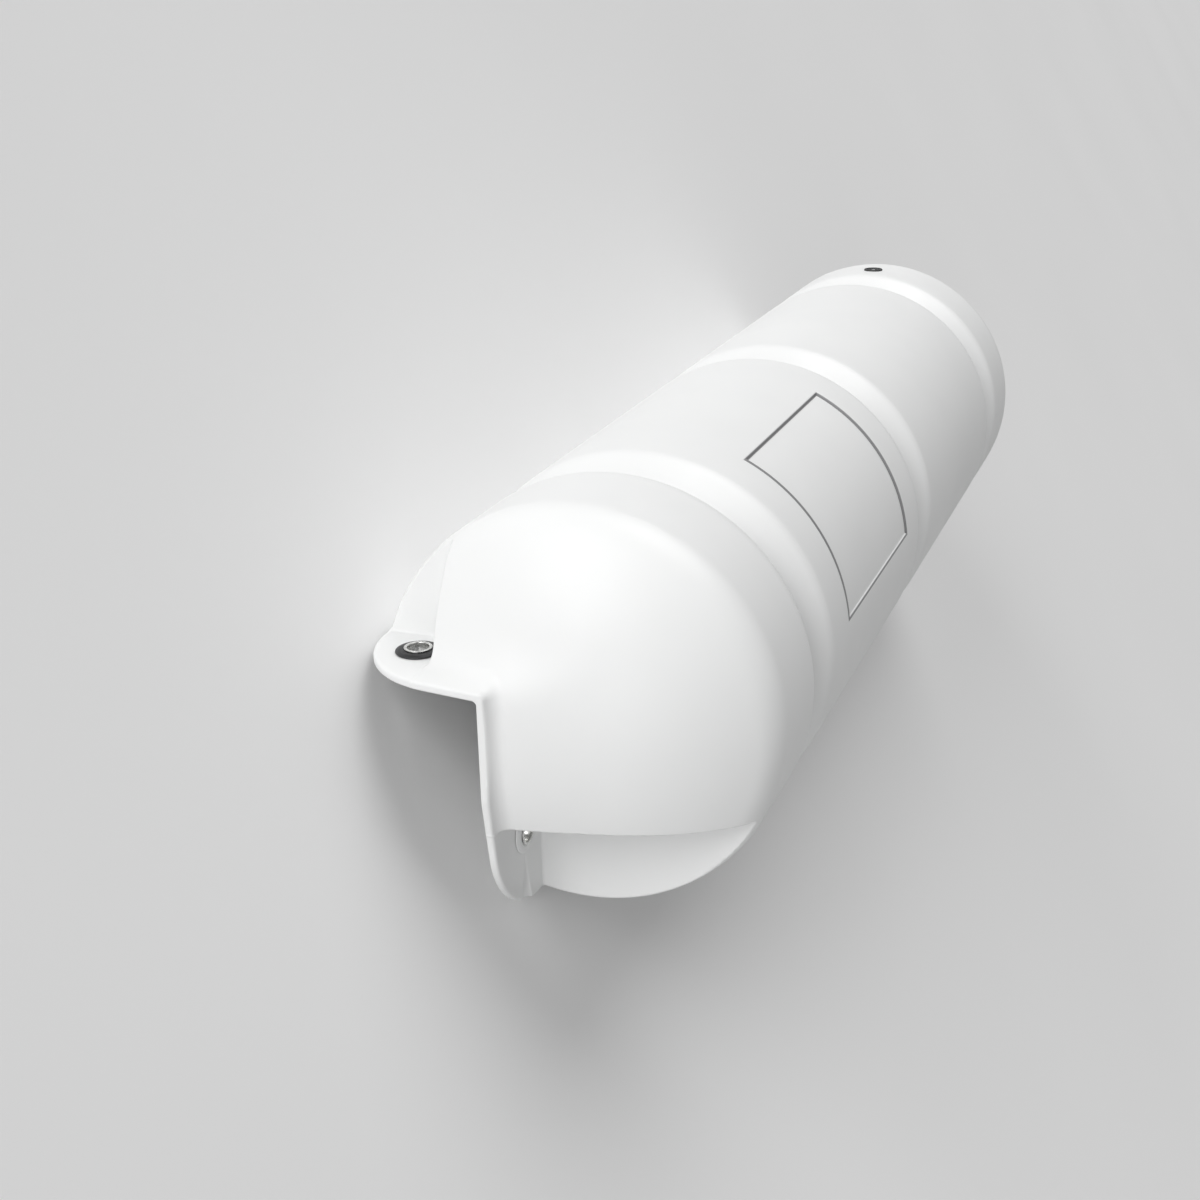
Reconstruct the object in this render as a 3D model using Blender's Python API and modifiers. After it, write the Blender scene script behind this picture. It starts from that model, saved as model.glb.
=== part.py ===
"""Three-quarter-round dock fender: a moulded hollow body for the edge of a dock.

Units are metres. Two frames are used. In the dock frame the fender sits on its dock: X points to
the water, Y runs along the dock's edge and Z points up, and the barrel's axis is the frame's own Y
axis. The object itself is stored as it stands unheld on a floor, on the two long edges of its
notch, so the dock frame is tilted about Y by REST_TILT and lifted by AXIS_HEIGHT.
"""

from math import asin, atan2, cos, degrees, hypot, pi, radians, sin, sqrt, tan

import bmesh
import bpy

# Barrel
BARREL_RADIUS = 0.125
BARREL_STEPS = 72
GROOVE_SPACING = 0.3085
GROOVE_HALF_WIDTH = 0.0275
GROOVE_FLANK = radians(28.0)
GROOVE_LIP_RADIUS = 0.020
GROOVE_ROOT_RADIUS = 0.005
GROOVE_LIP_STEPS = 2

# Domed ends
CAP_RADIUS = 0.168
CAP_CENTRE_FROM_MIDDLE = 0.291
SHOULDER_RADIUS = 0.033
CAP_STEPS = 6
SHOULDER_STEPS = 5

# Notch for the dock's edge
DOCK_SIDE_X = -0.030
DOCK_TOP_Z = 0.031
NOTCH_OVERSHOOT = 0.050

# Pockets in the domed ends and the tabs that they leave bare
END_WALL_FROM_MIDDLE = 0.4015
UPPER_POCKET_X = -0.0725
LOWER_POCKET_Z = -0.053
TAB_THICKNESS = 0.005
TAB_TIP_FROM_MIDDLE = 0.4715
UPPER_TAB_OUTER_FROM_MIDDLE = 0.4602
LOWER_TAB_OUTER_FROM_MIDDLE = 0.4565
TAB_CORNER_RADIUS = 0.0625
TAB_CORNER_STEPS = 10
TAB_ROOT_DEPTH = 0.008
TAB_UNDERCUT = 0.002
TAB_CUT_DEPTH = 0.020

# Webs that carry the domed ends over into the tabs: a cap shifted towards the dock, with two slopes
WEB_SHIFT_X = -0.035
WEB_CENTRE_FROM_MIDDLE = 0.2986
WEB_ROOT_FROM_MIDDLE = 0.425
WEB_TIP_FROM_MIDDLE = 0.464
WEB_SLOPES = ((0.0, 0.90), (-0.60, 0.60))
WEB_STEPS = 64

# Eyelets
EYELET_BORE_RADIUS = 0.0078
EYELET_BARREL_RADIUS = 0.0095
EYELET_FLANGE_RADIUS = 0.0135
EYELET_FLANGE_THICKNESS = 0.0018
EYELET_STEPS = 32
UPPER_EYELET_X = -0.0875
UPPER_EYELET_FROM_MIDDLE = 0.4255
LOWER_EYELET_Z = -0.0705
LOWER_EYELET_FROM_MIDDLE = 0.4255

# Steel liners in the eyelets
LINER_BORE_RADIUS = 0.0065
LINER_RADIUS = 0.0075
LINER_LIP_RADIUS = 0.0084
LINER_LIP_THICKNESS = 0.0006

# Rope lead: the tapered flute from a lower eyelet to the tab's edge
LEAD_TOP_Z = -0.087
LEAD_MOUTH_HALF_WIDTH = 0.008
LEAD_MOUTH_DEPTH = 0.0046
LEAD_LIFT = 0.0003
LEAD_OVERSHOOT = 0.2
LEAD_STEPS = 16

# Label panel, a shallow recess on the water side
PANEL_NEAR_Y = -0.240
PANEL_FAR_Y = -0.064
PANEL_LOW_ANGLE = radians(6.0)
PANEL_HIGH_ANGLE = radians(64.0)
PANEL_DEPTH = 0.0015
PANEL_ARC_STEPS = 24

# Filling valve
VALVE_Y = 0.360
VALVE_RADIUS = 0.0085
VALVE_SEAT_DEPTH = 0.004
VALVE_STAND = 0.0010
VALVE_STEPS = 32
VALVE_RECESS_RADIUS = 0.0035
VALVE_RECESS_DEPTH = 0.0010

# Gap between pieces that touch
SEAT_GAP = 0.0003

# Meshes
MERGE = 0.00001
SHARP_ANGLE = radians(30.0)

# How the fender stands: both long edges of the notch on the floor, each blunted by a narrow flat
EDGE_FLAT_DEPTH = 0.0004
UPPER_EDGE = (-sqrt(BARREL_RADIUS**2 - DOCK_TOP_Z**2), DOCK_TOP_Z)
LOWER_EDGE = (DOCK_SIDE_X, -sqrt(BARREL_RADIUS**2 - DOCK_SIDE_X**2))
REST_TILT = atan2(UPPER_EDGE[1] - LOWER_EDGE[1], LOWER_EDGE[0] - UPPER_EDGE[0])
SHARP_EDGE_DROP = -(LOWER_EDGE[0] * sin(REST_TILT) + LOWER_EDGE[1] * cos(REST_TILT))
AXIS_HEIGHT = SHARP_EDGE_DROP - EDGE_FLAT_DEPTH

ENDS = {"near": -1, "far": 1}


def clear_scene():
    """Removes what a new file starts with."""
    for old in list(bpy.data.objects):
        bpy.data.objects.remove(old, do_unlink=True)


def new_collection(name):
    """Makes a collection in the scene."""
    collection = bpy.data.collections.new(name)
    bpy.context.scene.collection.children.link(collection)
    return collection


def material(name, colour, roughness, metallic=0.0):
    """Makes a plain material."""
    made = bpy.data.materials.new(name)
    made.use_nodes = True
    shader = made.node_tree.nodes["Principled BSDF"]
    shader.inputs["Base Color"].default_value = (*colour, 1.0)
    shader.inputs["Roughness"].default_value = roughness
    shader.inputs["Metallic"].default_value = metallic
    return made


def place(obj, collection, parent=None, location=(0, 0, 0), rotation=(0, 0, 0)):
    """Links an object to a collection and sets where it is."""
    collection.objects.link(obj)
    obj.parent = parent
    obj.location = location
    obj.rotation_euler = rotation
    return obj


def make_tool(obj):
    """Marks an object that only shapes another: it isn't part of the fender itself."""
    obj.hide_render = True
    obj.display_type = "WIRE"
    return obj


def join_shape(target, tool, operation):
    """Adds or cuts a tool's shape."""
    boolean = target.modifiers.new(tool.name, "BOOLEAN")
    boolean.operation = operation
    boolean.object = tool


def finish_shape(obj, finish):
    """Turns what an object's modifiers make into its mesh, and gives it a material.

    Round faces are shaded smooth and the edges between them stay sharp.
    """
    graph = bpy.context.evaluated_depsgraph_get()
    mesh = bpy.data.meshes.new_from_object(obj.evaluated_get(graph))
    mesh.name = obj.name
    mesh.materials.clear()
    mesh.materials.append(finish)
    mesh.shade_smooth()
    mesh.set_sharp_from_angle(angle=SHARP_ANGLE)
    obj.modifiers.clear()
    obj.data = mesh


def turned(name, profile, steps, closed=False):
    """Turns a profile of (radius, height) about Z. An outer side runs from top to bottom."""
    mesh = bpy.data.meshes.new(name)
    count = len(profile)
    links = [(i, (i + 1) % count) for i in range(count if closed else count - 1)]
    mesh.from_pydata([(radius, 0, height) for radius, height in profile], links, [])
    obj = bpy.data.objects.new(name, mesh)
    screw = obj.modifiers.new("Turn", "SCREW")
    screw.axis = "Z"
    screw.steps = steps
    screw.render_steps = steps
    screw.use_merge_vertices = True
    screw.merge_threshold = MERGE
    return obj


def box(name, low, high):
    """A box between two corners, with its origin at its middle."""
    mesh = bpy.data.meshes.new(name)
    shape = bmesh.new()
    bmesh.ops.create_cube(shape, size=1.0)
    size = [b - a for a, b in zip(low, high)]
    bmesh.ops.scale(shape, vec=size, verts=shape.verts)
    shape.to_mesh(mesh)
    shape.free()
    return bpy.data.objects.new(name, mesh)


def box_tool(name, low, high, collection, parent):
    """A box that cuts, placed in the dock frame."""
    middle = [(a + b) / 2 for a, b in zip(low, high)]
    return make_tool(place(box(name, low, high), collection, parent, middle))


def plate(name, outline, thickness):
    """A flat outline given a thickness, centred on its own XY plane, as a closed mesh."""
    curve = bpy.data.curves.new(name, "CURVE")
    curve.dimensions = "2D"
    curve.fill_mode = "BOTH"
    curve.extrude = thickness / 2
    spline = curve.splines.new("POLY")
    spline.points.add(len(outline) - 1)
    for point, (u, v) in zip(spline.points, outline):
        point.co = (u, v, 0, 1)
    spline.use_cyclic_u = True
    drawn = bpy.data.objects.new(name + "_drawn", curve)
    bpy.context.scene.collection.objects.link(drawn)
    graph = bpy.context.evaluated_depsgraph_get()
    mesh = bpy.data.meshes.new_from_object(drawn.evaluated_get(graph))
    mesh.name = name
    shape = bmesh.new()
    shape.from_mesh(mesh)
    bmesh.ops.remove_doubles(shape, verts=shape.verts, dist=MERGE)
    bmesh.ops.recalc_face_normals(shape, faces=shape.faces)
    shape.to_mesh(mesh)
    shape.free()
    solid = bpy.data.objects.new(name, mesh)
    solid.matrix_world = drawn.matrix_world.copy()
    bpy.data.objects.remove(drawn)
    return solid


def arc(centre, radius, start, end, steps):
    """Points along an arc, both ends included."""
    turns = [start + (end - start) * i / steps for i in range(steps + 1)]
    return [(centre[0] + radius * cos(a), centre[1] + radius * sin(a)) for a in turns]


def groove_profile(middle):
    """The barrel's outline (radius, height) across one V groove, from its upper lip down."""
    lip = GROOVE_LIP_RADIUS
    root = GROOVE_ROOT_RADIUS
    lip_width = lip * sin(GROOVE_FLANK)
    root_width = root * sin(GROOVE_FLANK)
    flank_width = GROOVE_HALF_WIDTH - lip_width - root_width
    lip_drop = lip * (1 - cos(GROOVE_FLANK))
    flank_drop = flank_width * tan(GROOVE_FLANK)
    root_drop = root * (1 - cos(GROOVE_FLANK))
    depth = lip_drop + flank_drop + root_drop
    upper = []
    for i in range(GROOVE_LIP_STEPS + 1):
        turn = GROOVE_FLANK * i / GROOVE_LIP_STEPS
        drop = lip * (1 - cos(turn))
        upper.append((BARREL_RADIUS - drop, GROOVE_HALF_WIDTH - lip * sin(turn)))
    upper.append((BARREL_RADIUS - lip_drop - flank_drop, root_width))
    bottom = [(BARREL_RADIUS - depth, 0.0)]
    lower = [(radius, -height) for radius, height in reversed(upper)]
    return [(radius, middle + height) for radius, height in upper + bottom + lower]


def dome_profile():
    """The upper end's outline (radius, height), from the tip to the barrel."""
    reach = CAP_RADIUS - SHOULDER_RADIUS
    inset = BARREL_RADIUS - SHOULDER_RADIUS
    tangent = asin(inset / reach)
    shoulder_height = CAP_CENTRE_FROM_MIDDLE + sqrt(reach**2 - inset**2)
    points = []
    for i in range(CAP_STEPS + 1):
        turn = tangent * i / CAP_STEPS
        points.append((CAP_RADIUS * sin(turn), CAP_CENTRE_FROM_MIDDLE + CAP_RADIUS * cos(turn)))
    for i in range(1, SHOULDER_STEPS + 1):
        turn = tangent + (pi / 2 - tangent) * i / SHOULDER_STEPS
        radius = inset + SHOULDER_RADIUS * sin(turn)
        points.append((radius, shoulder_height + SHOULDER_RADIUS * cos(turn)))
    return points


def barrel_profile():
    """The whole barrel's outline, from the far tip down to the near tip."""
    far_end = dome_profile()
    near_end = [(radius, -height) for radius, height in reversed(far_end)]
    grooves = []
    for middle in (GROOVE_SPACING, 0.0, -GROOVE_SPACING):
        grooves += groove_profile(middle)
    return far_end + grooves + near_end


def rounded_corner(before, corner, after, radius, steps):
    """Replaces a corner of an outline by an arc that is tangent to both sides."""
    into = (corner[0] - before[0], corner[1] - before[1])
    out = (after[0] - corner[0], after[1] - corner[1])
    turn = atan2(into[0] * out[1] - into[1] * out[0], into[0] * out[0] + into[1] * out[1])
    set_back = radius * tan(abs(turn) / 2)
    length = hypot(*into)
    ahead = (into[0] / length, into[1] / length)
    side = (-ahead[1], ahead[0]) if turn > 0 else (ahead[1], -ahead[0])
    start = (corner[0] - ahead[0] * set_back, corner[1] - ahead[1] * set_back)
    centre = (start[0] + side[0] * radius, start[1] + side[1] * radius)
    first = atan2(start[1] - centre[1], start[0] - centre[0])
    return arc(centre, radius, first, first + turn, steps)


def tab_trim(outer, outer_from_middle):
    """The outline that trims a bracket's leg to a tab, as (out from the axis, out from the middle).

    It covers all that lies past the slanting tip, round the tab's outer corner and past its side.
    """
    corner = (outer, outer_from_middle)
    inner = -DOCK_SIDE_X
    slope = (outer_from_middle - TAB_TIP_FROM_MIDDLE) / (outer - inner)
    start = (0, TAB_TIP_FROM_MIDDLE - inner * slope)
    root = (outer, END_WALL_FROM_MIDDLE - 2 * TAB_ROOT_DEPTH)
    rounded = rounded_corner(start, corner, root, TAB_CORNER_RADIUS, TAB_CORNER_STEPS)
    far_out = outer + NOTCH_OVERSHOOT
    past_tip = TAB_TIP_FROM_MIDDLE + NOTCH_OVERSHOOT
    around = [(far_out, root[1]), (far_out, past_tip), (0, past_tip)]
    return [start] + rounded + [root] + around


def tab_bracket(end, side, collection, frame):
    """The L-shaped plate that makes one end's two tabs. The notch trims its inner faces."""
    upper_outer = sqrt(BARREL_RADIUS**2 - (DOCK_TOP_Z + TAB_THICKNESS) ** 2)
    lower_outer = -LOWER_EDGE[1]
    spare = TAB_UNDERCUT
    face_x = DOCK_SIDE_X + TAB_THICKNESS
    face_z = DOCK_TOP_Z + TAB_THICKNESS
    section = [
        (face_x, face_z),
        (-upper_outer - spare, face_z),
        (-upper_outer - spare, DOCK_TOP_Z - spare),
        (DOCK_SIDE_X - spare, DOCK_TOP_Z - spare),
        (DOCK_SIDE_X - spare, -lower_outer - spare),
        (face_x, -lower_outer - spare),
    ]
    root = END_WALL_FROM_MIDDLE - TAB_ROOT_DEPTH
    bracket = plate(f"tabs_{end}", [(x, -z) for x, z in section], TAB_TIP_FROM_MIDDLE - root)
    middle = side * (root + TAB_TIP_FROM_MIDDLE) / 2
    make_tool(place(bracket, collection, frame, (0, middle, 0), (-pi / 2, 0, 0)))
    upper = tab_trim(upper_outer, UPPER_TAB_OUTER_FROM_MIDDLE)
    lower = tab_trim(lower_outer, LOWER_TAB_OUTER_FROM_MIDDLE)
    upper_cut = [(-out, side * along) for out, along in upper]
    lower_cut = [(out, side * along) for out, along in lower]
    upper_trim = plate(f"trim_upper_{end}", upper_cut, TAB_CUT_DEPTH)
    lower_trim = plate(f"trim_lower_{end}", lower_cut, TAB_CUT_DEPTH)
    make_tool(place(upper_trim, collection, frame, (0, 0, DOCK_TOP_Z)))
    make_tool(place(lower_trim, collection, frame, (DOCK_SIDE_X, 0, 0), (0, pi / 2, 0)))
    join_shape(bracket, upper_trim, "DIFFERENCE")
    join_shape(bracket, lower_trim, "DIFFERENCE")
    return bracket


def web_cap(end, side, collection, frame):
    """The shifted cap that carries the dome over into both tabs. Pockets and notch trim it.

    One slope bounds it upwards and one outwards along the upper tab. Both start at the outer corner
    of the L that the tabs make.
    """
    mesh = bpy.data.meshes.new(f"web_{end}")
    shape = bmesh.new()
    bmesh.ops.create_uvsphere(shape, u_segments=WEB_STEPS, v_segments=WEB_STEPS // 2, radius=CAP_RADIUS)
    location = (WEB_SHIFT_X, side * WEB_CENTRE_FROM_MIDDLE, 0)
    corner = (DOCK_SIDE_X + TAB_THICKNESS, side * WEB_TIP_FROM_MIDDLE, DOCK_TOP_Z + TAB_THICKNESS)
    cuts = [(corner, (fall_x, side, fall_z)) for fall_x, fall_z in WEB_SLOPES]
    cuts.append(((0, side * WEB_ROOT_FROM_MIDDLE, 0), (0, -side, 0)))
    cuts.append(((0, 0, LOWER_POCKET_Z - TAB_THICKNESS), (0, 0, -1)))
    for point, normal in cuts:
        here = [a - b for a, b in zip(point, location)]
        parts = shape.verts[:] + shape.edges[:] + shape.faces[:]
        cut = bmesh.ops.bisect_plane(shape, geom=parts, plane_co=here, plane_no=normal, clear_outer=True)
        rim = [part for part in cut["geom_cut"] if isinstance(part, bmesh.types.BMEdge)]
        bmesh.ops.contextual_create(shape, geom=rim)
    bmesh.ops.recalc_face_normals(shape, faces=shape.faces)
    shape.to_mesh(mesh)
    shape.free()
    return make_tool(place(bpy.data.objects.new(mesh.name, mesh), collection, frame, location))


def pocket_tools(end, side, collection, frame):
    """The two boxes that open the domed end above the upper tab and below the lower one."""
    reach = BARREL_RADIUS + NOTCH_OVERSHOOT
    tip = TAB_TIP_FROM_MIDDLE + NOTCH_OVERSHOOT
    low_y, high_y = sorted((side * END_WALL_FROM_MIDDLE, side * tip))
    upper_low = (-reach, low_y, 0)
    upper_high = (UPPER_POCKET_X, high_y, reach)
    lower_low = (-NOTCH_OVERSHOOT, low_y, -reach)
    lower_high = (reach, high_y, LOWER_POCKET_Z)
    return [
        box_tool(f"pocket_upper_{end}", upper_low, upper_high, collection, frame),
        box_tool(f"pocket_lower_{end}", lower_low, lower_high, collection, frame),
    ]


def notch_tool(collection, frame):
    """The space that the dock's edge takes up, over the whole length."""
    reach = BARREL_RADIUS + NOTCH_OVERSHOOT
    tip = TAB_TIP_FROM_MIDDLE + NOTCH_OVERSHOOT
    return box_tool("notch", (-reach, -tip, -reach), (DOCK_SIDE_X, tip, DOCK_TOP_Z), collection, frame)


def edge_flat_tool(collection):
    """The space below the floor, which blunts the notch's two long edges."""
    reach = BARREL_RADIUS + NOTCH_OVERSHOOT
    tip = TAB_TIP_FROM_MIDDLE + NOTCH_OVERSHOOT
    return box_tool("edge_flats", (-reach, -tip, -NOTCH_OVERSHOOT), (reach, tip, 0), collection, None)


def panel_tool(collection, frame):
    """A curved slab that sinks the label panel into the barrel."""
    floor = BARREL_RADIUS - PANEL_DEPTH
    above = BARREL_RADIUS + PANEL_DEPTH
    inner = arc((0, 0), floor, -PANEL_HIGH_ANGLE, -PANEL_LOW_ANGLE, PANEL_ARC_STEPS)
    outer = arc((0, 0), above, -PANEL_LOW_ANGLE, -PANEL_HIGH_ANGLE, PANEL_ARC_STEPS)
    slab = plate("label_panel", inner + outer, PANEL_FAR_Y - PANEL_NEAR_Y)
    middle = (0, (PANEL_NEAR_Y + PANEL_FAR_Y) / 2, 0)
    return make_tool(place(slab, collection, frame, middle, (-pi / 2, 0, 0)))


def bore_tool(name, radius, depth, steps, collection, frame, location, rotation):
    """A round cutter centred on its location."""
    mesh = bpy.data.meshes.new(name)
    shape = bmesh.new()
    bmesh.ops.create_cone(
        shape, cap_ends=True, segments=steps, radius1=radius, radius2=radius, depth=depth
    )
    shape.to_mesh(mesh)
    shape.free()
    return make_tool(place(bpy.data.objects.new(name, mesh), collection, frame, location, rotation))


def lead_tool(end, side, collection, frame):
    """A flattened cone that widens and deepens the rope lead towards the tab's edge."""
    mesh = bpy.data.meshes.new(f"rope_lead_{end}")
    shape = bmesh.new()
    length = (LEAD_TOP_Z - LOWER_EDGE[1]) * (1 + LEAD_OVERSHOOT)
    mouth = LEAD_MOUTH_HALF_WIDTH * (1 + LEAD_OVERSHOOT)
    bmesh.ops.create_cone(
        shape, cap_ends=True, segments=LEAD_STEPS, radius1=mouth, radius2=0, depth=length
    )
    squash = LEAD_MOUTH_DEPTH / LEAD_MOUTH_HALF_WIDTH
    bmesh.ops.scale(shape, vec=(squash, 1, 1), verts=shape.verts)
    shape.to_mesh(mesh)
    shape.free()
    axis_x = DOCK_SIDE_X + TAB_THICKNESS + LEAD_LIFT
    location = (axis_x, side * LOWER_EYELET_FROM_MIDDLE, LEAD_TOP_Z - length / 2)
    return make_tool(place(bpy.data.objects.new(mesh.name, mesh), collection, frame, location))


def eyelet_places():
    """Each tab's name, and its eyelet's place on its bare face and rotation, in the dock frame."""
    places = []
    for end, side in ENDS.items():
        upper = (UPPER_EYELET_X, side * UPPER_EYELET_FROM_MIDDLE, DOCK_TOP_Z + TAB_THICKNESS)
        lower = (DOCK_SIDE_X + TAB_THICKNESS, side * LOWER_EYELET_FROM_MIDDLE, LOWER_EYELET_Z)
        places.append((f"upper_{end}", upper, (0, 0, 0)))
        places.append((f"lower_{end}", lower, (0, pi / 2, 0)))
    return places


def eyelet_profile():
    """The eyelet's section (radius, height) above the tab's face, as a closed loop."""
    edge = EYELET_FLANGE_THICKNESS / 3
    top = SEAT_GAP + EYELET_FLANGE_THICKNESS
    foot = -TAB_THICKNESS + SEAT_GAP
    return [
        (EYELET_BORE_RADIUS + edge, top),
        (EYELET_FLANGE_RADIUS - edge, top),
        (EYELET_FLANGE_RADIUS, top - edge),
        (EYELET_FLANGE_RADIUS, SEAT_GAP),
        (EYELET_BARREL_RADIUS, SEAT_GAP),
        (EYELET_BARREL_RADIUS, foot),
        (EYELET_BORE_RADIUS, foot),
        (EYELET_BORE_RADIUS, top - edge),
    ]


def liner_profile():
    """The liner's section (radius, height) above the tab's face, as a closed loop."""
    seat = SEAT_GAP + EYELET_FLANGE_THICKNESS + SEAT_GAP
    top = seat + LINER_LIP_THICKNESS
    edge = LINER_LIP_THICKNESS / 2
    foot = -TAB_THICKNESS + SEAT_GAP
    return [
        (LINER_BORE_RADIUS + edge, top),
        (LINER_LIP_RADIUS - edge, top),
        (LINER_LIP_RADIUS, top - edge),
        (LINER_LIP_RADIUS, seat),
        (LINER_RADIUS, seat),
        (LINER_RADIUS, foot),
        (LINER_BORE_RADIUS, foot),
        (LINER_BORE_RADIUS, top - edge),
    ]


def build_eyelets(collection, frame, upper_finish, lower_finish, liner_finish):
    """A black eyelet in each upper tab, a white one in each lower tab, and their steel liners."""
    for tab, location, rotation in eyelet_places():
        eyelet = turned(f"eyelet_{tab}", eyelet_profile(), EYELET_STEPS, closed=True)
        place(eyelet, collection, frame, location, rotation)
        finish_shape(eyelet, upper_finish if tab.startswith("upper") else lower_finish)
        liner = turned(f"eyelet_liner_{tab}", liner_profile(), EYELET_STEPS, closed=True)
        place(liner, collection, frame, location, rotation)
        finish_shape(liner, liner_finish)


def build_valve(collection, frame, finish):
    """The filling valve's plug, sunk into the top of the barrel near its far end."""
    edge = VALVE_STAND / 2
    seat = BARREL_RADIUS - VALVE_SEAT_DEPTH + SEAT_GAP
    top = BARREL_RADIUS + VALVE_STAND
    profile = [
        (0, top - VALVE_RECESS_DEPTH),
        (VALVE_RECESS_RADIUS, top - VALVE_RECESS_DEPTH),
        (VALVE_RECESS_RADIUS, top),
        (VALVE_RADIUS - edge, top),
        (VALVE_RADIUS, top - edge),
        (VALVE_RADIUS, seat),
        (0, seat),
    ]
    valve = turned("filling_valve", profile, VALVE_STEPS)
    place(valve, collection, frame, (0, VALVE_Y, 0))
    finish_shape(valve, finish)


def build_body(collection, tools, frame, finish):
    """The moulded body: barrel with domed ends, webs, pockets, tabs, notch and small recesses."""
    body = turned("fender_body", barrel_profile(), BARREL_STEPS)
    place(body, collection, None, (0, 0, AXIS_HEIGHT), (-pi / 2, 0, 0))
    for end, side in ENDS.items():
        join_shape(body, web_cap(end, side, tools, frame), "UNION")
    for end, side in ENDS.items():
        for pocket in pocket_tools(end, side, tools, frame):
            join_shape(body, pocket, "DIFFERENCE")
    for end, side in ENDS.items():
        join_shape(body, tab_bracket(end, side, tools, frame), "UNION")
    join_shape(body, notch_tool(tools, frame), "DIFFERENCE")
    join_shape(body, edge_flat_tool(tools), "DIFFERENCE")
    join_shape(body, panel_tool(tools, frame), "DIFFERENCE")
    for tab, location, rotation in eyelet_places():
        hole = bore_tool(
            f"eyelet_hole_{tab}",
            EYELET_BARREL_RADIUS + SEAT_GAP,
            TAB_CUT_DEPTH,
            EYELET_STEPS,
            tools,
            frame,
            location,
            rotation,
        )
        join_shape(body, hole, "DIFFERENCE")
    for end, side in ENDS.items():
        join_shape(body, lead_tool(end, side, tools, frame), "DIFFERENCE")
    seat = bore_tool(
        "valve_seat",
        VALVE_RADIUS + SEAT_GAP,
        VALVE_SEAT_DEPTH * 2,
        VALVE_STEPS,
        tools,
        frame,
        (0, VALVE_Y, BARREL_RADIUS),
        (0, 0, 0),
    )
    join_shape(body, seat, "DIFFERENCE")
    finish_shape(body, finish)


def main():
    """Builds the fender."""
    clear_scene()
    fender = new_collection("dock_fender")
    tools = new_collection("cutters")
    tools.hide_render = True
    frame = place(bpy.data.objects.new("dock_frame", None), fender)
    frame.location = (0, 0, AXIS_HEIGHT)
    frame.rotation_euler = (0, -REST_TILT, 0)
    white = material("white_pvc", (0.86, 0.87, 0.87), 0.38)
    black = material("black_plastic", (0.025, 0.025, 0.027), 0.45)
    steel = material("steel", (0.72, 0.72, 0.70), 0.28, metallic=1.0)
    build_body(fender, tools, frame, white)
    build_eyelets(fender, frame, black, white, steel)
    build_valve(fender, frame, black)
    print(f"rest tilt {degrees(REST_TILT):.3f} degrees, axis {AXIS_HEIGHT * 1000:.2f} mm up")


main()
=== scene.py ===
"""Dock fender: the visible skin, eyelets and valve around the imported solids, on a plain floor.

Shapes are worked out in the dock frame, where the barrel's axis is Y, X points to the water and Z
points up, and are then turned into the row's own frame, in which the fender stands on the two long
edges of its notch. Lengths are in metres.
"""

import logging
from dataclasses import dataclass
from enum import Enum
from math import asin, atan2, cos, hypot, pi, radians, sin, sqrt, tan
from typing import Sequence

import bpy
import numpy as np
from mathutils import Euler, Matrix, Vector


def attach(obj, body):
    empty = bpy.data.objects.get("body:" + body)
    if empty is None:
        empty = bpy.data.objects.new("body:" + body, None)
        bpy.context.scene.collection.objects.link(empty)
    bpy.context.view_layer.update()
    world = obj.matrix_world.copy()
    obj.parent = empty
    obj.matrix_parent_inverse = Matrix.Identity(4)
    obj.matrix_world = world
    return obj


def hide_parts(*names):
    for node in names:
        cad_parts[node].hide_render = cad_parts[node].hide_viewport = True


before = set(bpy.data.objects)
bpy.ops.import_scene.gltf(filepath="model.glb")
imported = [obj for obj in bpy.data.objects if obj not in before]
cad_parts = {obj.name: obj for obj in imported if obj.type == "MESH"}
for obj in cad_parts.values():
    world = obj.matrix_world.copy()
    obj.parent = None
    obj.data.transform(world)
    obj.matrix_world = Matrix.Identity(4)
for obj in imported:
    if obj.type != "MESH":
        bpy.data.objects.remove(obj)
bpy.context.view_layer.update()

log = logging.getLogger("dock_fender")

ROOT_BODY = "root"
# Mesh attribute that carries painted shade along the label panel's shallow sunk border line.
PAINTED_BORDER_SHADE = "border_groove_and_shade"
PHOTO_WIDTH = 1200
SENSOR_WIDTH = 36.0
SHARP_ANGLE = radians(35.0)
SLOPE_STEP = 2e-5
LONGEST_MOVE = 0.002
NOISE_MIDDLE = (0.3, 0.7)
TINY = 1e-6

Array = np.ndarray
Point = tuple[float, float, float]
Colour = tuple[float, float, float]


class End(Enum):
    """The fender's two ends, by the sign of Y."""

    NEAR = -1
    FAR = 1


class Leg(Enum):
    """The two legs of the notch: the tab on top of the dock and the one down its side."""

    UPPER = "upper"
    LOWER = "lower"


class Slot(Enum):
    """The record's material slots."""

    WHITE_PVC = "white_pvc"
    BLACK_PLASTIC = "black_plastic"
    STEEL = "steel"


# Numbers


def smooth_step(value: Array, low: float, high: float) -> Array:
    """A step from 0 at low to 1 at high, which rises smoothly between them."""
    t = np.clip((value - low) / (high - low), 0.0, 1.0)
    return t * t * (3.0 - 2.0 * t)


def round_max(a: Array, b: Array, radius: float | Array, cosine: float = 0.0) -> Array:
    """The distance to what lies inside both of two shapes, with their shared edge rounded.

    Args:
        a: signed distance to the first shape, negative inside.
        b: signed distance to the second shape.
        radius: the edge's radius.
        cosine: the cosine of the angle between the two surfaces' outward normals at the edge.

    Returns:
        Signed distance to the rounded shape.
    """
    u = a + radius
    v = b + radius
    square = (u * u + v * v - 2.0 * cosine * u * v) / (1.0 - cosine * cosine)
    at_edge = (u > cosine * v) & (v > cosine * u)
    return np.where(at_edge, np.sqrt(np.maximum(square, 0.0)) - radius, np.maximum(a, b))


def round_min(a: Array, b: Array, radius: float | Array, cosine: float = 0.0) -> Array:
    """The distance to either of two shapes with a fillet where they meet; takes what round_max does."""
    return -round_max(-a, -b, radius, cosine)


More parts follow.
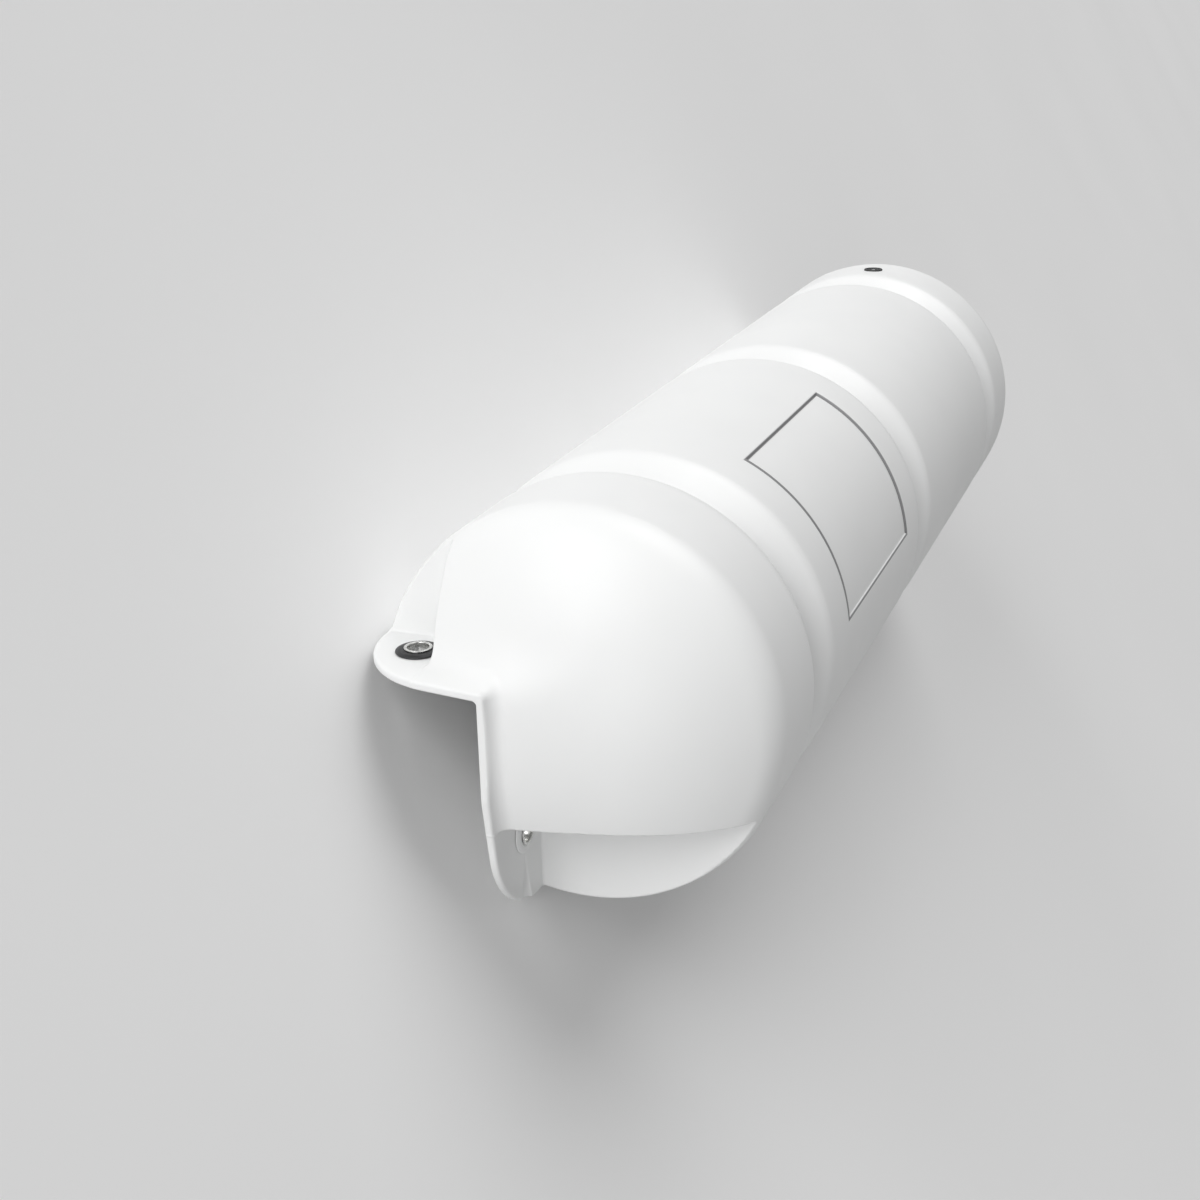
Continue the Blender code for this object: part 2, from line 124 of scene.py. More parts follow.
def graded(low: float, high: float, base: float, fine: Sequence[Point], growth: float) -> Array:
    """Grid lines from low to high that lie closer together at the places that need it.

    Args:
        low: the first line.
        high: the last line.
        base: the widest spacing.
        fine: each place's middle, half-width and spacing.
        growth: how fast the spacing widens away from such a place.

    Returns:
        The lines, in rising order.
    """
    lines = [low]
    while lines[-1] < high:
        here = lines[-1]
        step = base
        for middle, half, spacing in fine:
            away = max(abs(here - middle) - half, 0.0)
            step = min(step, spacing + growth * away)
        lines.append(here + step)
    spread = np.array(lines)
    return low + (spread - low) * (high - low) / (spread[-1] - low)


# The form


@dataclass(frozen=True)
class RestFrame:
    """Turns the dock frame into the row's frame.

    Attributes:
        tilt: how far the dock frame is turned about Y.
        axis_height: the barrel axis's height over the floor.
    """

    tilt: float
    axis_height: float

    def points(self, dock: Array) -> Array:
        """Moves places from the dock frame into the row's frame.

        Args:
            dock: places in the dock frame, one row each.

        Returns:
            The same places in the row's frame.
        """
        turned = self.directions(dock)
        turned[:, 2] += self.axis_height
        return turned

    def directions(self, dock: Array) -> Array:
        """Turns directions from the dock frame into the row's frame.

        Args:
            dock: directions in the dock frame, one row each.

        Returns:
            The same directions in the row's frame.
        """
        x = dock[:, 0] * cos(self.tilt) - dock[:, 2] * sin(self.tilt)
        z = dock[:, 0] * sin(self.tilt) + dock[:, 2] * cos(self.tilt)
        return np.stack([x, dock[:, 1], z], axis=1)

    def matrix(self) -> Matrix:
        """The same turn and lift as a matrix, from the dock frame to the row's frame."""
        lift = Matrix.Translation((0.0, 0.0, self.axis_height))
        return lift @ Euler((0.0, -self.tilt, 0.0)).to_matrix().to_4x4()


@dataclass(frozen=True)
class FenderForm:
    """The moulded body's shape in the dock frame, as a signed distance that is negative inside.

    Places along the dock are counted from the fender's middle. Each *_line is where the fine line at
    one of the label panel's borders starts and stops, counted inwards from the border. The line is a
    shallow sunk groove whose dark colour is painted shade, widest at the near border.
    """

    # Barrel and grooves
    barrel_radius: float = 0.125
    groove_places: tuple[float, ...] = (-0.3085, 0.0, 0.3085)
    groove_half_width: float = 0.0275
    groove_flank: float = radians(28.0)
    groove_lip: float = 0.020
    groove_root: float = 0.005
    # Domed ends
    cap_radius: float = 0.168
    cap_centre: float = 0.291
    shoulder_radius: float = 0.033
    # Notch for the dock's edge
    dock_side_x: float = -0.030
    dock_top_z: float = 0.031
    notch_corner: float = 0.0025
    notch_edge: float = 0.0012
    edge_flat: float = 0.0004
    # Pockets and tabs
    end_wall: float = 0.4015
    upper_pocket_x: float = -0.0725
    lower_pocket_z: float = -0.053
    pocket_corner: float = 0.003
    pocket_rim: float = 0.0008
    tab_thickness: float = 0.005
    tab_tip: float = 0.4715
    tab_root: float = 0.3985
    seam_start: float = 0.380
    upper_tab_side: float = 0.4602
    lower_tab_side: float = 0.4565
    tab_corner: float = 0.0625
    tab_rim: float = 0.0018
    bracket_corner: float = 0.0045
    # Webs: a cap shifted towards the dock, with one slope upwards and one out along the upper tab
    web_shift: float = -0.035
    web_centre: float = 0.2986
    web_tip: float = 0.464
    web_up: tuple[float, float] = (0.0, 0.90)
    web_out: tuple[float, float] = (-0.60, 0.60)
    web_ridge: float = 0.030
    web_ridge_cosine: float = 0.75
    web_fillet: float = 0.050
    web_fillet_cosine: float = 0.90
    web_end: float = 0.004
    rim_fillet: float = 0.0085
    pocket_fillet: float = 0.0016
    pocket_fillet_fade: tuple[float, float] = (-0.0005, 0.0012)
    # Eyelets and rope leads
    upper_eyelet_x: float = -0.0875
    upper_eyelet_y: float = 0.4255
    lower_eyelet_z: float = -0.0705
    lower_eyelet_y: float = 0.4255
    eyelet_hole: float = 0.0098
    lead_top: float = -0.087
    lead_half_width: float = 0.008
    lead_depth: float = 0.0046
    lead_edge: float = 0.0004
    # Label panel
    panel_y: tuple[float, float] = (-0.240, -0.064)
    panel_turn: tuple[float, float] = (radians(6.0), radians(64.0))
    panel_depth: float = 0.0015
    panel_edge: float = 0.00035
    near_line: tuple[float, float] = (-0.0044, 0.0002)
    far_line: tuple[float, float] = (-0.0006, 0.0014)
    high_line: tuple[float, float] = (-0.0004, 0.0010)
    low_line: tuple[float, float] = (-0.0015, -0.0003)
    line_edge: float = 0.0003
    line_depth: float = 0.0003

    def upper_edge(self) -> tuple[float, float]:
        """Where the notch's top plane leaves the barrel, as (x, z)."""
        return -sqrt(self.barrel_radius**2 - self.dock_top_z**2), self.dock_top_z

    def lower_edge(self) -> tuple[float, float]:
        """Where the notch's side plane leaves the barrel, as (x, z)."""
        return self.dock_side_x, -sqrt(self.barrel_radius**2 - self.dock_side_x**2)

    def rest_frame(self) -> RestFrame:
        """How the fender stands on the two blunted edges of its notch.

        Returns:
            The turn and lift from the dock frame.
        """
        upper, lower = self.upper_edge(), self.lower_edge()
        tilt = atan2(upper[1] - lower[1], lower[0] - upper[0])
        height = -(lower[0] * sin(tilt) + lower[1] * cos(tilt))
        return RestFrame(tilt, height - self.edge_flat)

    def groove_drop(self, y: Array) -> Array:
        """How far the grooves sink the barrel's surface.

        Args:
            y: places along the dock.

        Returns:
            The drop at each place.
        """
        flank = self.groove_flank
        lip_width = self.groove_lip * sin(flank)
        root_width = self.groove_root * sin(flank)
        flank_width = self.groove_half_width - lip_width - root_width
        lip_drop = self.groove_lip * (1.0 - cos(flank))
        root_drop = self.groove_root * (1.0 - cos(flank))
        depth = lip_drop + flank_width * tan(flank) + root_drop
        drop = np.zeros_like(y)
        for place in self.groove_places:
            away = np.abs(y - place)
            from_edge = np.clip(self.groove_half_width - away, 0.0, lip_width)
            lip = self.groove_lip - np.sqrt(self.groove_lip**2 - from_edge**2)
            slope = lip_drop + (self.groove_half_width - lip_width - away) * tan(flank)
            near_root = np.minimum(away, root_width)
            root = depth - self.groove_root + np.sqrt(self.groove_root**2 - near_root**2)
            on_flank = away < self.groove_half_width - lip_width
            found = np.where(on_flank, np.where(away < root_width, root, slope), lip)
            drop = np.maximum(drop, np.where(away < self.groove_half_width, found, 0.0))
        return drop

    def panel_insets(self, x: Array, y: Array, z: Array) -> tuple[Array, Array, Array, Array]:
        """How far places lie inside the label panel's four borders.

        Args:
            x: places across the dock.
            y: places along it.
            z: heights, from the barrel's axis.

        Returns:
            The distances from the near, far, high and low border, positive inside.
        """
        low, high = (angle * self.barrel_radius for angle in self.panel_turn)
        turn = np.arctan2(z, x) * self.barrel_radius
        return y - self.panel_y[0], self.panel_y[1] - y, high - turn, turn - low

    def border_groove_and_shade(self, x: Array, y: Array, z: Array) -> Array:
        """Where the fine sunk line round the label panel lies, which the skin's colour also darkens as
        painted shade.

        Args:
            x: places across the dock.
            y: places along it.
            z: heights, from the barrel's axis.

        Returns:
            1 on the line, 0 off it.
        """
        insets = self.panel_insets(x, y, z)
        reach = -self.near_line[0]
        drawn = np.zeros_like(y)
        edge = self.line_edge
        for k, (start, stop) in enumerate((self.near_line, self.far_line, self.high_line, self.low_line)):
            begun = smooth_step(insets[k], start - edge, start)
            ended = smooth_step(insets[k], stop, stop + edge)
            band = begun * (1.0 - ended)
            beside = insets[2:] if k < 2 else insets[:2]
            starts = (self.high_line, self.low_line) if k < 2 else (self.near_line, self.far_line)
            for inset, line in zip(beside, starts):
                band = band * smooth_step(inset, line[0] - edge, line[0])
            drawn = np.maximum(drawn, band)
        near = (np.abs(y) < reach + max(abs(limit) for limit in self.panel_y)) & (x > 0.0)
        return np.where(near, drawn, 0.0)

    def panel_drop(self, x: Array, y: Array, z: Array) -> Array:
        """How far the label panel and the fine line at its border sink the surface.

        Args:
            x: places across the dock.
            y: places along it.
            z: heights, from the barrel's axis.

        Returns:
            The drop at each place.
        """
        inset = np.minimum.reduce(self.panel_insets(x, y, z))
        floor = self.panel_depth * smooth_step(inset, -self.panel_edge, self.panel_edge)
        return floor + self.line_depth * self.border_groove_and_shade(x, y, z)

    def revolved(self, x: Array, y: Array, z: Array) -> Array:
        """Distance to the barrel with its grooves, panel and domed ends.

        Args:
            x: places across the dock.
            y: places along it.
            z: heights, from the barrel's axis.

        Returns:
            Signed distance, negative inside.
        """
        rho = np.hypot(x, z)
        along = np.abs(y)
        reach = self.cap_radius - self.shoulder_radius
        inset = self.barrel_radius - self.shoulder_radius
        shoulder_at = self.cap_centre + sqrt(reach**2 - inset**2)
        barrel = rho - self.barrel_radius + self.groove_drop(y) + self.panel_drop(x, y, z)
        cap = np.hypot(rho, along - self.cap_centre) - self.cap_radius
        shoulder = np.hypot(rho - inset, along - shoulder_at) - self.shoulder_radius
        on_cap = np.arctan2(rho, along - self.cap_centre) < asin(inset / reach)
        return np.where(along > shoulder_at, np.where(on_cap, cap, shoulder), barrel)

    def tab_outline(self, out: Array, along: Array, outer: float, side_tip: float) -> Array:
        """Distance past a tab's outline, in the tab's own plane.

        Args:
            out: how far a point lies from the axis, along the leg.
            along: how far it lies from the fender's middle.
            outer: where the tab's side is.
            side_tip: how far the tip line has come back at that side.

        Returns:
            Signed distance, negative within the outline.
        """
        inner = -self.dock_side_x
        slope = (side_tip - self.tab_tip) / (outer - inner)
        length = hypot(1.0, slope)
        past_tip = (along - self.tab_tip - slope * (out - inner)) / length
        cosine = -slope / length
        return round_max(past_tip, out - outer, self.tab_corner, cosine)

    def bracket(self, x: Array, y: Array, z: Array) -> Array:
        """Distance to the L-shaped plate that makes an end's two tabs.

        Args:
            x: places across the dock.
            y: places along it.
            z: heights, from the barrel's axis.

        Returns:
            Signed distance, negative inside.
        """
        along = np.abs(y)
        thick = self.tab_thickness
        face_x = x - self.dock_side_x - thick
        face_z = z - self.dock_top_z - thick
        faces = round_max(face_x, face_z, self.bracket_corner)
        upper_outer = sqrt(self.barrel_radius**2 - (self.dock_top_z + thick) ** 2)
        lower_outer = -self.lower_edge()[1]
        upper = self.tab_outline(-x, along, upper_outer, self.upper_tab_side)
        lower = self.tab_outline(-z, along, lower_outer, self.lower_tab_side)
        in_upper = z > self.dock_top_z - 2.0 * thick
        outline = np.maximum(along - self.tab_tip, np.where(in_upper, upper, lower))
        plates = round_max(faces, outline, self.tab_rim)
        return np.maximum(plates, self.tab_root - along)

    def distance(self, points: Array) -> Array:
        """Signed distance to the moulded body.

        Args:
            points: places in the dock frame, one row each.

        Returns:
            One distance a row, negative inside.
        """
        x, y, z = points[:, 0], points[:, 1], points[:, 2]
        along = np.abs(y)
        rho = np.hypot(x, z)
        bracket = self.bracket(x, y, z)
        at_end = along > self.seam_start
        body = self.revolved(x, y, z)
        webbed = round_min(body, self.web(x, along, z), self.web_fillet, self.web_fillet_cosine)
        webbed = round_min(webbed, bracket, self.rim_radius(x, z))
        body = np.where(at_end, webbed, body)
        upper_pocket = round_max(x - self.upper_pocket_x, self.end_wall - along, self.pocket_corner)
        lower_pocket = round_max(z - self.lower_pocket_z, self.end_wall - along, self.pocket_corner)
        body = round_max(body, -upper_pocket, self.pocket_rim)
        body = round_max(body, -lower_pocket, self.pocket_rim)
        in_dome = np.minimum(x - self.upper_pocket_x, z - self.lower_pocket_z)
        fillet = self.pocket_fillet * (1.0 - smooth_step(in_dome, *self.pocket_fillet_fade)) + TINY
        body = np.where(at_end, round_min(body, bracket, fillet), body)
        body = np.maximum(body, np.maximum(rho - self.barrel_radius, along - self.tab_tip))
        notch = round_max(x - self.dock_side_x, z - self.dock_top_z, self.notch_corner)
        body = round_max(body, -notch, self.notch_edge)
        upper_hole = np.hypot(x - self.upper_eyelet_x, along - self.upper_eyelet_y)
        lower_hole = np.hypot(z - self.lower_eyelet_z, along - self.lower_eyelet_y)
        near_upper = z > 0.0
        near_lower = x < self.dock_side_x + 3.0 * self.tab_thickness
        body = np.maximum(body, np.where(near_upper, self.eyelet_hole - upper_hole, -1.0))
        body = np.maximum(body, np.where(near_lower & ~near_upper, self.eyelet_hole - lower_hole, -1.0))
        return round_max(body, -self.lead(x, along, z), self.lead_edge)

    def web(self, x: Array, along: Array, z: Array) -> Array:
        """Distance to the web, a shifted cap that carries the dome over into both tabs.

        Args:
            x: places across the dock.
            along: their distances from the fender's middle.
            z: heights, from the barrel's axis.

        Returns:
            Signed distance to the shifted cap, with its two slopes rounded over.
        """
        from_x = x - self.dock_side_x - self.tab_thickness
        from_z = z - self.dock_top_z - self.tab_thickness
        web = np.sqrt((x - self.web_shift) ** 2 + (along - self.web_centre) ** 2 + z * z) - self.cap_radius
        for fall_x, fall_z in (self.web_up, self.web_out):
            slope = (along - self.web_tip + fall_x * from_x + fall_z * from_z) / hypot(1.0, fall_x, fall_z)
            web = round_max(web, slope, self.web_ridge, self.web_ridge_cosine)
        past_end = np.maximum(self.upper_pocket_x - x, self.lower_pocket_z - z) - self.web_end
        return np.maximum(web, past_end)

    def rim_radius(self, x: Array, z: Array) -> Array:
        """The radius of the fillet between the web and the tabs, smaller inside the pockets.

        Args:
            x: places across the dock.
            z: heights, from the barrel's axis.

        Returns:
            The radius at each place.
        """
        past_end = np.maximum(self.upper_pocket_x - x, self.lower_pocket_z - z)
        inner = smooth_step(past_end, 0.0, self.web_end)
        return self.rim_fillet + (self.pocket_fillet - self.rim_fillet) * inner

    def lead(self, x: Array, along: Array, z: Array) -> Array:
        """Distance to the tapered flute that leads a rope from a lower eyelet to the tab's edge.

        Args:
            x: places across the dock.
            along: their distances from the fender's middle.
            z: heights, from the barrel's axis.

        Returns:
            Signed distance, negative inside the flute.
        """
        run = self.lead_top - self.lower_edge()[1]
        share = np.maximum((self.lead_top - z) / run, TINY)
        half_width = self.lead_half_width * share
        squash = self.lead_half_width / self.lead_depth
        face = self.dock_side_x + self.tab_thickness
        across = np.hypot((x - face) * squash, along - self.lower_eyelet_y)
        flute = (across - half_width) / squash
        return np.maximum(flute, z - self.lead_top)

    def gradient(self, points: Array) -> Array:
        """The distance's slope, by small steps to either side.

        Args:
            points: places in the dock frame, one row each.

        Returns:
            One slope a row.
        """
        slopes = []
        for axis in range(3):
            shift = np.zeros(3)
            shift[axis] = SLOPE_STEP
            rise = self.distance(points + shift) - self.distance(points - shift)
            slopes.append(rise / (2.0 * SLOPE_STEP))
        return np.stack(slopes, axis=1)

    def settle(self, points: Array, rounds: int, hold_y: bool = False) -> Array:
        """Moves points onto the surface.

        Args:
            points: places near the surface.
            rounds: how often each is moved.
            hold_y: whether a point keeps its y.

        Returns:
            The moved points.
        """
        moved = points.copy()
        for _ in range(rounds):
            slope = self.gradient(moved)
            if hold_y:
                slope[:, 1] = 0.0
            size = np.maximum((slope**2).sum(axis=1), TINY)
            step = slope * (self.distance(moved) / size)[:, None]
            length = np.linalg.norm(step, axis=1)
            moved -= step * np.minimum(1.0, LONGEST_MOVE / np.maximum(length, TINY))[:, None]
        return moved


# Meshes


@dataclass
class Shell:
    """A mesh as plain arrays.

    Attributes:
        points: one row a vertex.
        faces: vertex numbers, three or four a row; a triangle repeats its last one.
    """

    points: Array
    faces: Array

    def joined(self, other: "Shell") -> "Shell":
        """Puts both meshes in one, without merging their vertices.

        Args:
            other: the mesh whose vertices and faces come last.

        Returns:
            The mesh of both.
        """
        points = np.concatenate([self.points, other.points])
        faces = np.concatenate([self.faces, other.faces + len(self.points)])
        return Shell(points, faces)

    def polygons(self) -> list[list[int]]:
        """The faces as lists, triangles without their repeated vertex."""
        return [row[:3] if row[2] == row[3] else row for row in self.faces.tolist()]


def corner_counts(signs: Array) -> Array:
    """How many of each grid cell's eight corners lie inside.

    Args:
        signs: whether each crossing of grid lines lies inside.

    Returns:
        One count a cell.
    """
    s = signs.astype(np.int8)
    pairs = s[:-1] + s[1:]
    squares = pairs[:, :-1] + pairs[:, 1:]
    return squares[:, :, :-1] + squares[:, :, 1:]


def surface_net(values: Array, lines: tuple[Array, Array, Array]) -> tuple[Shell, Array]:
    """Meshes the zero surface of values on a grid, with one vertex in each cell that it crosses.

    Args:
        values: signed distances, one for each crossing of grid lines.
        lines: the grid's x, y and z lines.

    Returns:
        The mesh, and each vertex's cell as three numbers.
    """
    inside = values < 0.0
    counts = corner_counts(inside)
    mixed = (counts > 0) & (counts < 8)
    cells = np.argwhere(mixed)
    number = np.full(mixed.shape, -1, np.int64)
    number[mixed] = np.arange(len(cells))
    total = np.zeros((len(cells), 3))
    weight = np.zeros(len(cells))
    quads = []
    for axis in range(3):
        others = [a for a in range(3) if a != axis]
        low = [slice(None)] * 3
        high = [slice(None)] * 3
        low[axis] = slice(0, -1)
        high[axis] = slice(1, None)
        crossed = inside[tuple(low)] != inside[tuple(high)]
        at = np.argwhere(crossed)
        first = values[tuple(low)][crossed]
        second = values[tuple(high)][crossed]
        share = first / (first - second)
        place = np.stack([lines[a][at[:, a]] for a in range(3)], axis=1)
        place[:, axis] += share * (lines[axis][at[:, axis] + 1] - lines[axis][at[:, axis]])
        around = []
        for shift_a, shift_b in ((1, 1), (0, 1), (0, 0), (1, 0)):
            cell = at.copy()
            cell[:, others[0]] -= shift_a
            cell[:, others[1]] -= shift_b
            valid = ((cell >= 0) & (cell < np.array(mixed.shape))).all(axis=1)
            index = np.full(len(cell), -1, np.int64)
            index[valid] = number[tuple(cell[valid].T)]
            np.add.at(total, index[valid], place[valid])
            np.add.at(weight, index[valid], 1.0)
            around.append(index)
        ring = np.stack(around, axis=1)
        whole = (ring >= 0).all(axis=1)
        ring = ring[whole]
        outward = (first < 0.0)[whole]
        if axis == 1:
            outward = ~outward
        ring = np.where(outward[:, None], ring, ring[:, ::-1])
        quads.append(ring)
    return Shell(total / weight[:, None], np.concatenate(quads)), cells


def zipped(first: Array, second: Array, angles_a: Array, angles_b: Array) -> list[list[int]]:
    """Triangles that join two closed rings of vertices which follow the same curve.

    Args:
        first: the first ring's vertex numbers, in rising angle.
        second: the second ring's.
        angles_a: the first ring's angles.
        angles_b: the second ring's.

    Returns:
        The triangles, each with its last vertex repeated.
    """
    a = np.append(angles_a, angles_a[0] + 2.0 * pi)
    b = np.append(angles_b, angles_b[0] + 2.0 * pi)
    i = j = 0
    made = []
    while i < len(first) or j < len(second):
        here = int(first[i % len(first)])
        there = int(second[j % len(second)])
        if j == len(second) or (i < len(first) and a[i + 1] <= b[j + 1]):
            i += 1
            ahead = int(first[i % len(first)])
        else:
            j += 1
            ahead = int(second[j % len(second)])
        made.append([here, there, ahead, ahead])
    return made


def turned_shell(profile: Sequence[tuple[float, float]], steps: int, closed: bool) -> Shell:
    """Turns a profile of (radius, height) about Z.

    Args:
        profile: the section's points. A closed one is a loop.
        steps: how many faces go round.
        closed: whether the last point joins the first.

    Returns:
        The mesh, with points on the axis merged.
    """
    turns = [2.0 * pi * k / steps for k in range(steps)]
    points: list[Point] = []
    rings = []
    for radius, height in profile:
        if radius < TINY:
            rings.append([len(points)] * steps)
            points.append((0.0, 0.0, height))
            continue
        rings.append(list(range(len(points), len(points) + steps)))
        points += [(radius * cos(t), radius * sin(t), height) for t in turns]
    count = len(rings) if closed else len(rings) - 1
    faces = []
    for k in range(count):
        upper, lower = rings[k], rings[(k + 1) % len(rings)]
        for t in range(steps):
            after = (t + 1) % steps
            face = [upper[t], lower[t], lower[after], upper[after]]
            if upper[t] == upper[after]:
                face = [upper[t], lower[t], lower[after], lower[after]]
            elif lower[t] == lower[after]:
                face = [upper[t], lower[t], upper[after], upper[after]]
            faces.append(face)
    return Shell(np.array(points), np.array(faces))


def rounded_profile(corners: Sequence[Point], steps: int, closed: bool) -> list[tuple[float, float]]:
    """Rounds the corners of a profile.

    Args:
        corners: each corner's radius from the axis, height and rounding.
        steps: how many pieces a rounding has.
        closed: whether the profile is a loop.

    Returns:
        The profile's points.
    """
    made = []
    count = len(corners)
    for k, (r, z, rounding) in enumerate(corners):
        if rounding <= 0.0 or (not closed and k in (0, count - 1)):
            made.append((r, z))
            continue
        here = Vector((r, z))
        back = (Vector(corners[k - 1][:2]) - here).normalized()
        ahead = (Vector(corners[(k + 1) % count][:2]) - here).normalized()
        half = back.angle(ahead) / 2.0
        middle = here + (back + ahead).normalized() * (rounding / sin(half))
        start = here + back * (rounding / tan(half)) - middle
        stop = here + ahead * (rounding / tan(half)) - middle
        sweep = start.angle_signed(stop)
        for t in range(steps + 1):
            spoke = start.copy()
            spoke.rotate(Matrix.Rotation(-sweep * t / steps, 2))
            made.append((middle.x + spoke.x, middle.y + spoke.y))
    return made


def new_piece(
    name: str, shell: Shell, material: bpy.types.Material, normals: Array | None = None
) -> bpy.types.Object:
    """Makes an object from arrays.

    Args:
        name: the piece's name.
        shell: its mesh.
        material: its finish.
        normals: the shading normal of each vertex, where it isn't left to Blender.

    Returns:
        The object, linked to the scene.
    """
    mesh = bpy.data.meshes.new(name)
    mesh.from_pydata(shell.points.tolist(), [], shell.polygons())
    mesh.update()
    mesh.materials.append(material)
    mesh.shade_smooth()
    if normals is None:
        mesh.set_sharp_from_angle(angle=SHARP_ANGLE)
    else:
        mesh.normals_split_custom_set_from_vertices(normals.tolist())
    piece = bpy.data.objects.new(name, mesh)
    bpy.context.scene.collection.objects.link(piece)
    return piece


# Finishes


@dataclass
class NodeSheet:
    """A material's node tree with short ways to add to it.

    Attributes:
        material: the material that it belongs to.
    """

    material: bpy.types.Material

    @classmethod
    def fresh(cls, name: str) -> "NodeSheet":
        """Starts a new material with a Principled shader.

        Args:
            name: the material's name.

        Returns:
            Its sheet.
        """
        material = bpy.data.materials.new(name)
        material.use_nodes = True
        return cls(material)

    @property
    def shader(self) -> bpy.types.ShaderNode:
        """The Principled shader."""
        return self.material.node_tree.nodes["Principled BSDF"]

    def add(self, kind: str, **settings: object) -> bpy.types.ShaderNode:
        """Adds a node.

        Args:
            kind: the node's type.
            settings: its properties and their values.

        Returns:
            The node.
        """
        node = self.material.node_tree.nodes.new(kind)
        for key, value in settings.items():
            setattr(node, key, value)
        return node

    def link(self, source: bpy.types.NodeSocket, target: bpy.types.NodeSocket) -> None:
        """Links two sockets."""
        self.material.node_tree.links.new(source, target)

    def place(self) -> bpy.types.NodeSocket:
        """Places on the piece, in metres."""
        return self.add("ShaderNodeTexCoord").outputs["Object"]

    def noise(self, scale: float, detail: float, rough: float = 0.5) -> bpy.types.NodeSocket:
        """Soft noise that many times a metre.

        Args:
            scale: how many blotches fit in a metre.
            detail: how many finer layers it has.
            rough: how strong those are.

        Returns:
            The noise's value.
        """
        node = self.add("ShaderNodeTexNoise")
        node.inputs["Scale"].default_value = scale
        node.inputs["Detail"].default_value = detail
        node.inputs["Roughness"].default_value = rough
        self.link(self.place(), node.inputs["Vector"])
        return node.outputs["Fac"]

    def spread(self, value: bpy.types.NodeSocket, low: float, high: float) -> bpy.types.NodeSocket:
        """Spreads the middle of a noise over a range.

        Args:
            value: the noise.
            low: what its low side becomes.
            high: what its high side becomes.

        Returns:
            The spread value.
        """
        node = self.add("ShaderNodeMapRange")
        node.inputs["From Min"].default_value = NOISE_MIDDLE[0]
        node.inputs["From Max"].default_value = NOISE_MIDDLE[1]
        node.inputs["To Min"].default_value = low
        node.inputs["To Max"].default_value = high
        self.link(value, node.inputs["Value"])
        return node.outputs["Result"]

    def blend(self, share: bpy.types.NodeSocket, first: Colour, second: Colour) -> bpy.types.NodeSocket:
        """A colour between two.

        Args:
            share: how much of the second there is.
            first: the first colour.
            second: the second colour.

        Returns:
            The blended colour.
        """
        node = self.add("ShaderNodeMix", data_type="RGBA")
        node.inputs["A"].default_value = (*first, 1.0)
        node.inputs["B"].default_value = (*second, 1.0)
        self.link(share, node.inputs["Factor"])
        return node.outputs["Result"]

    def bump(
        self,
        height: bpy.types.NodeSocket,
        strength: float,
        depth: float,
        under: bpy.types.NodeSocket | None = None,
    ) -> bpy.types.NodeSocket:
        """Fine relief.

        Args:
            height: where it stands high.
            strength: how strongly it shows.
            depth: how deep it is, in metres.
            under: coarser relief that it lies on.

        Returns:
            The surface's normal.
        """
        node = self.add("ShaderNodeBump")
        node.inputs["Strength"].default_value = strength
        node.inputs["Distance"].default_value = depth
        self.link(height, node.inputs["Height"])
        if under is not None:
            self.link(under, node.inputs["Normal"])
        return node.outputs["Normal"]


@dataclass(frozen=True)
class SoftPvc:
    """White moulded satin PVC with faint waviness, fine orange peel and painted shade round the label
    panel.

    Attributes:
        light: the skin's colour.
        shade: the colour of its faint clouds.
        line: the painted shade colour along the fine sunk line round the label panel.
        roughness: the smoothest and the roughest patches.
        clouds: how many clouds there are in a metre, and their layers.
        gloss: the same for the patches, with their finer layers' strength.
        waves: the same for the waviness.
        wave_relief: how strongly that shows, and its depth.
        peel: how many grains of orange peel there are in a metre, and their layers.
        peel_relief: how strongly that shows, and its depth.
        coat: the strength of the sheen over it, and its roughness.
    """

    light: Colour = (0.86, 0.865, 0.862)
    shade: Colour = (0.835, 0.84, 0.838)
    line: Colour = (0.24, 0.24, 0.245)
    roughness: tuple[float, float] = (0.42, 0.52)
    clouds: tuple[float, float] = (7.0, 3.0)
    gloss: tuple[float, float, float] = (38.0, 4.0, 0.6)
    waves: tuple[float, float] = (14.0, 1.0)
    wave_relief: tuple[float, float] = (0.25, 0.0012)
    peel: tuple[float, float] = (420.0, 2.0)
    peel_relief: tuple[float, float] = (0.10, 0.0003)
    coat: tuple[float, float] = (0.08, 0.35)

    def material(self) -> bpy.types.Material:
        """Builds the material.

        Returns:
            The material.
        """
        sheet = NodeSheet.fresh("satin_white_pvc")
        cloud = sheet.spread(sheet.noise(*self.clouds), 0.0, 1.0)
        skin = sheet.blend(cloud, self.light, self.shade)
        # Painted shade: the border attribute darkens the skin along the sunk line round the label panel.
        painted_shade_mix = sheet.add("ShaderNodeMix", data_type="RGBA")
        painted_shade_mix.inputs["B"].default_value = (*self.line, 1.0)
        sheet.link(skin, painted_shade_mix.inputs["A"])
        line = sheet.add("ShaderNodeAttribute", attribute_name=PAINTED_BORDER_SHADE)
        sheet.link(line.outputs["Fac"], painted_shade_mix.inputs["Factor"])
        sheet.link(painted_shade_mix.outputs["Result"], sheet.shader.inputs["Base Color"])
        gloss = sheet.spread(sheet.noise(*self.gloss), *self.roughness)
        sheet.link(gloss, sheet.shader.inputs["Roughness"])
        waves = sheet.bump(sheet.noise(*self.waves), *self.wave_relief)
        peel = sheet.bump(sheet.noise(*self.peel), *self.peel_relief, waves)
        sheet.link(peel, sheet.shader.inputs["Normal"])
        sheet.shader.inputs["Coat Weight"].default_value = self.coat[0]
        sheet.shader.inputs["Coat Roughness"].default_value = self.coat[1]
        return sheet.material


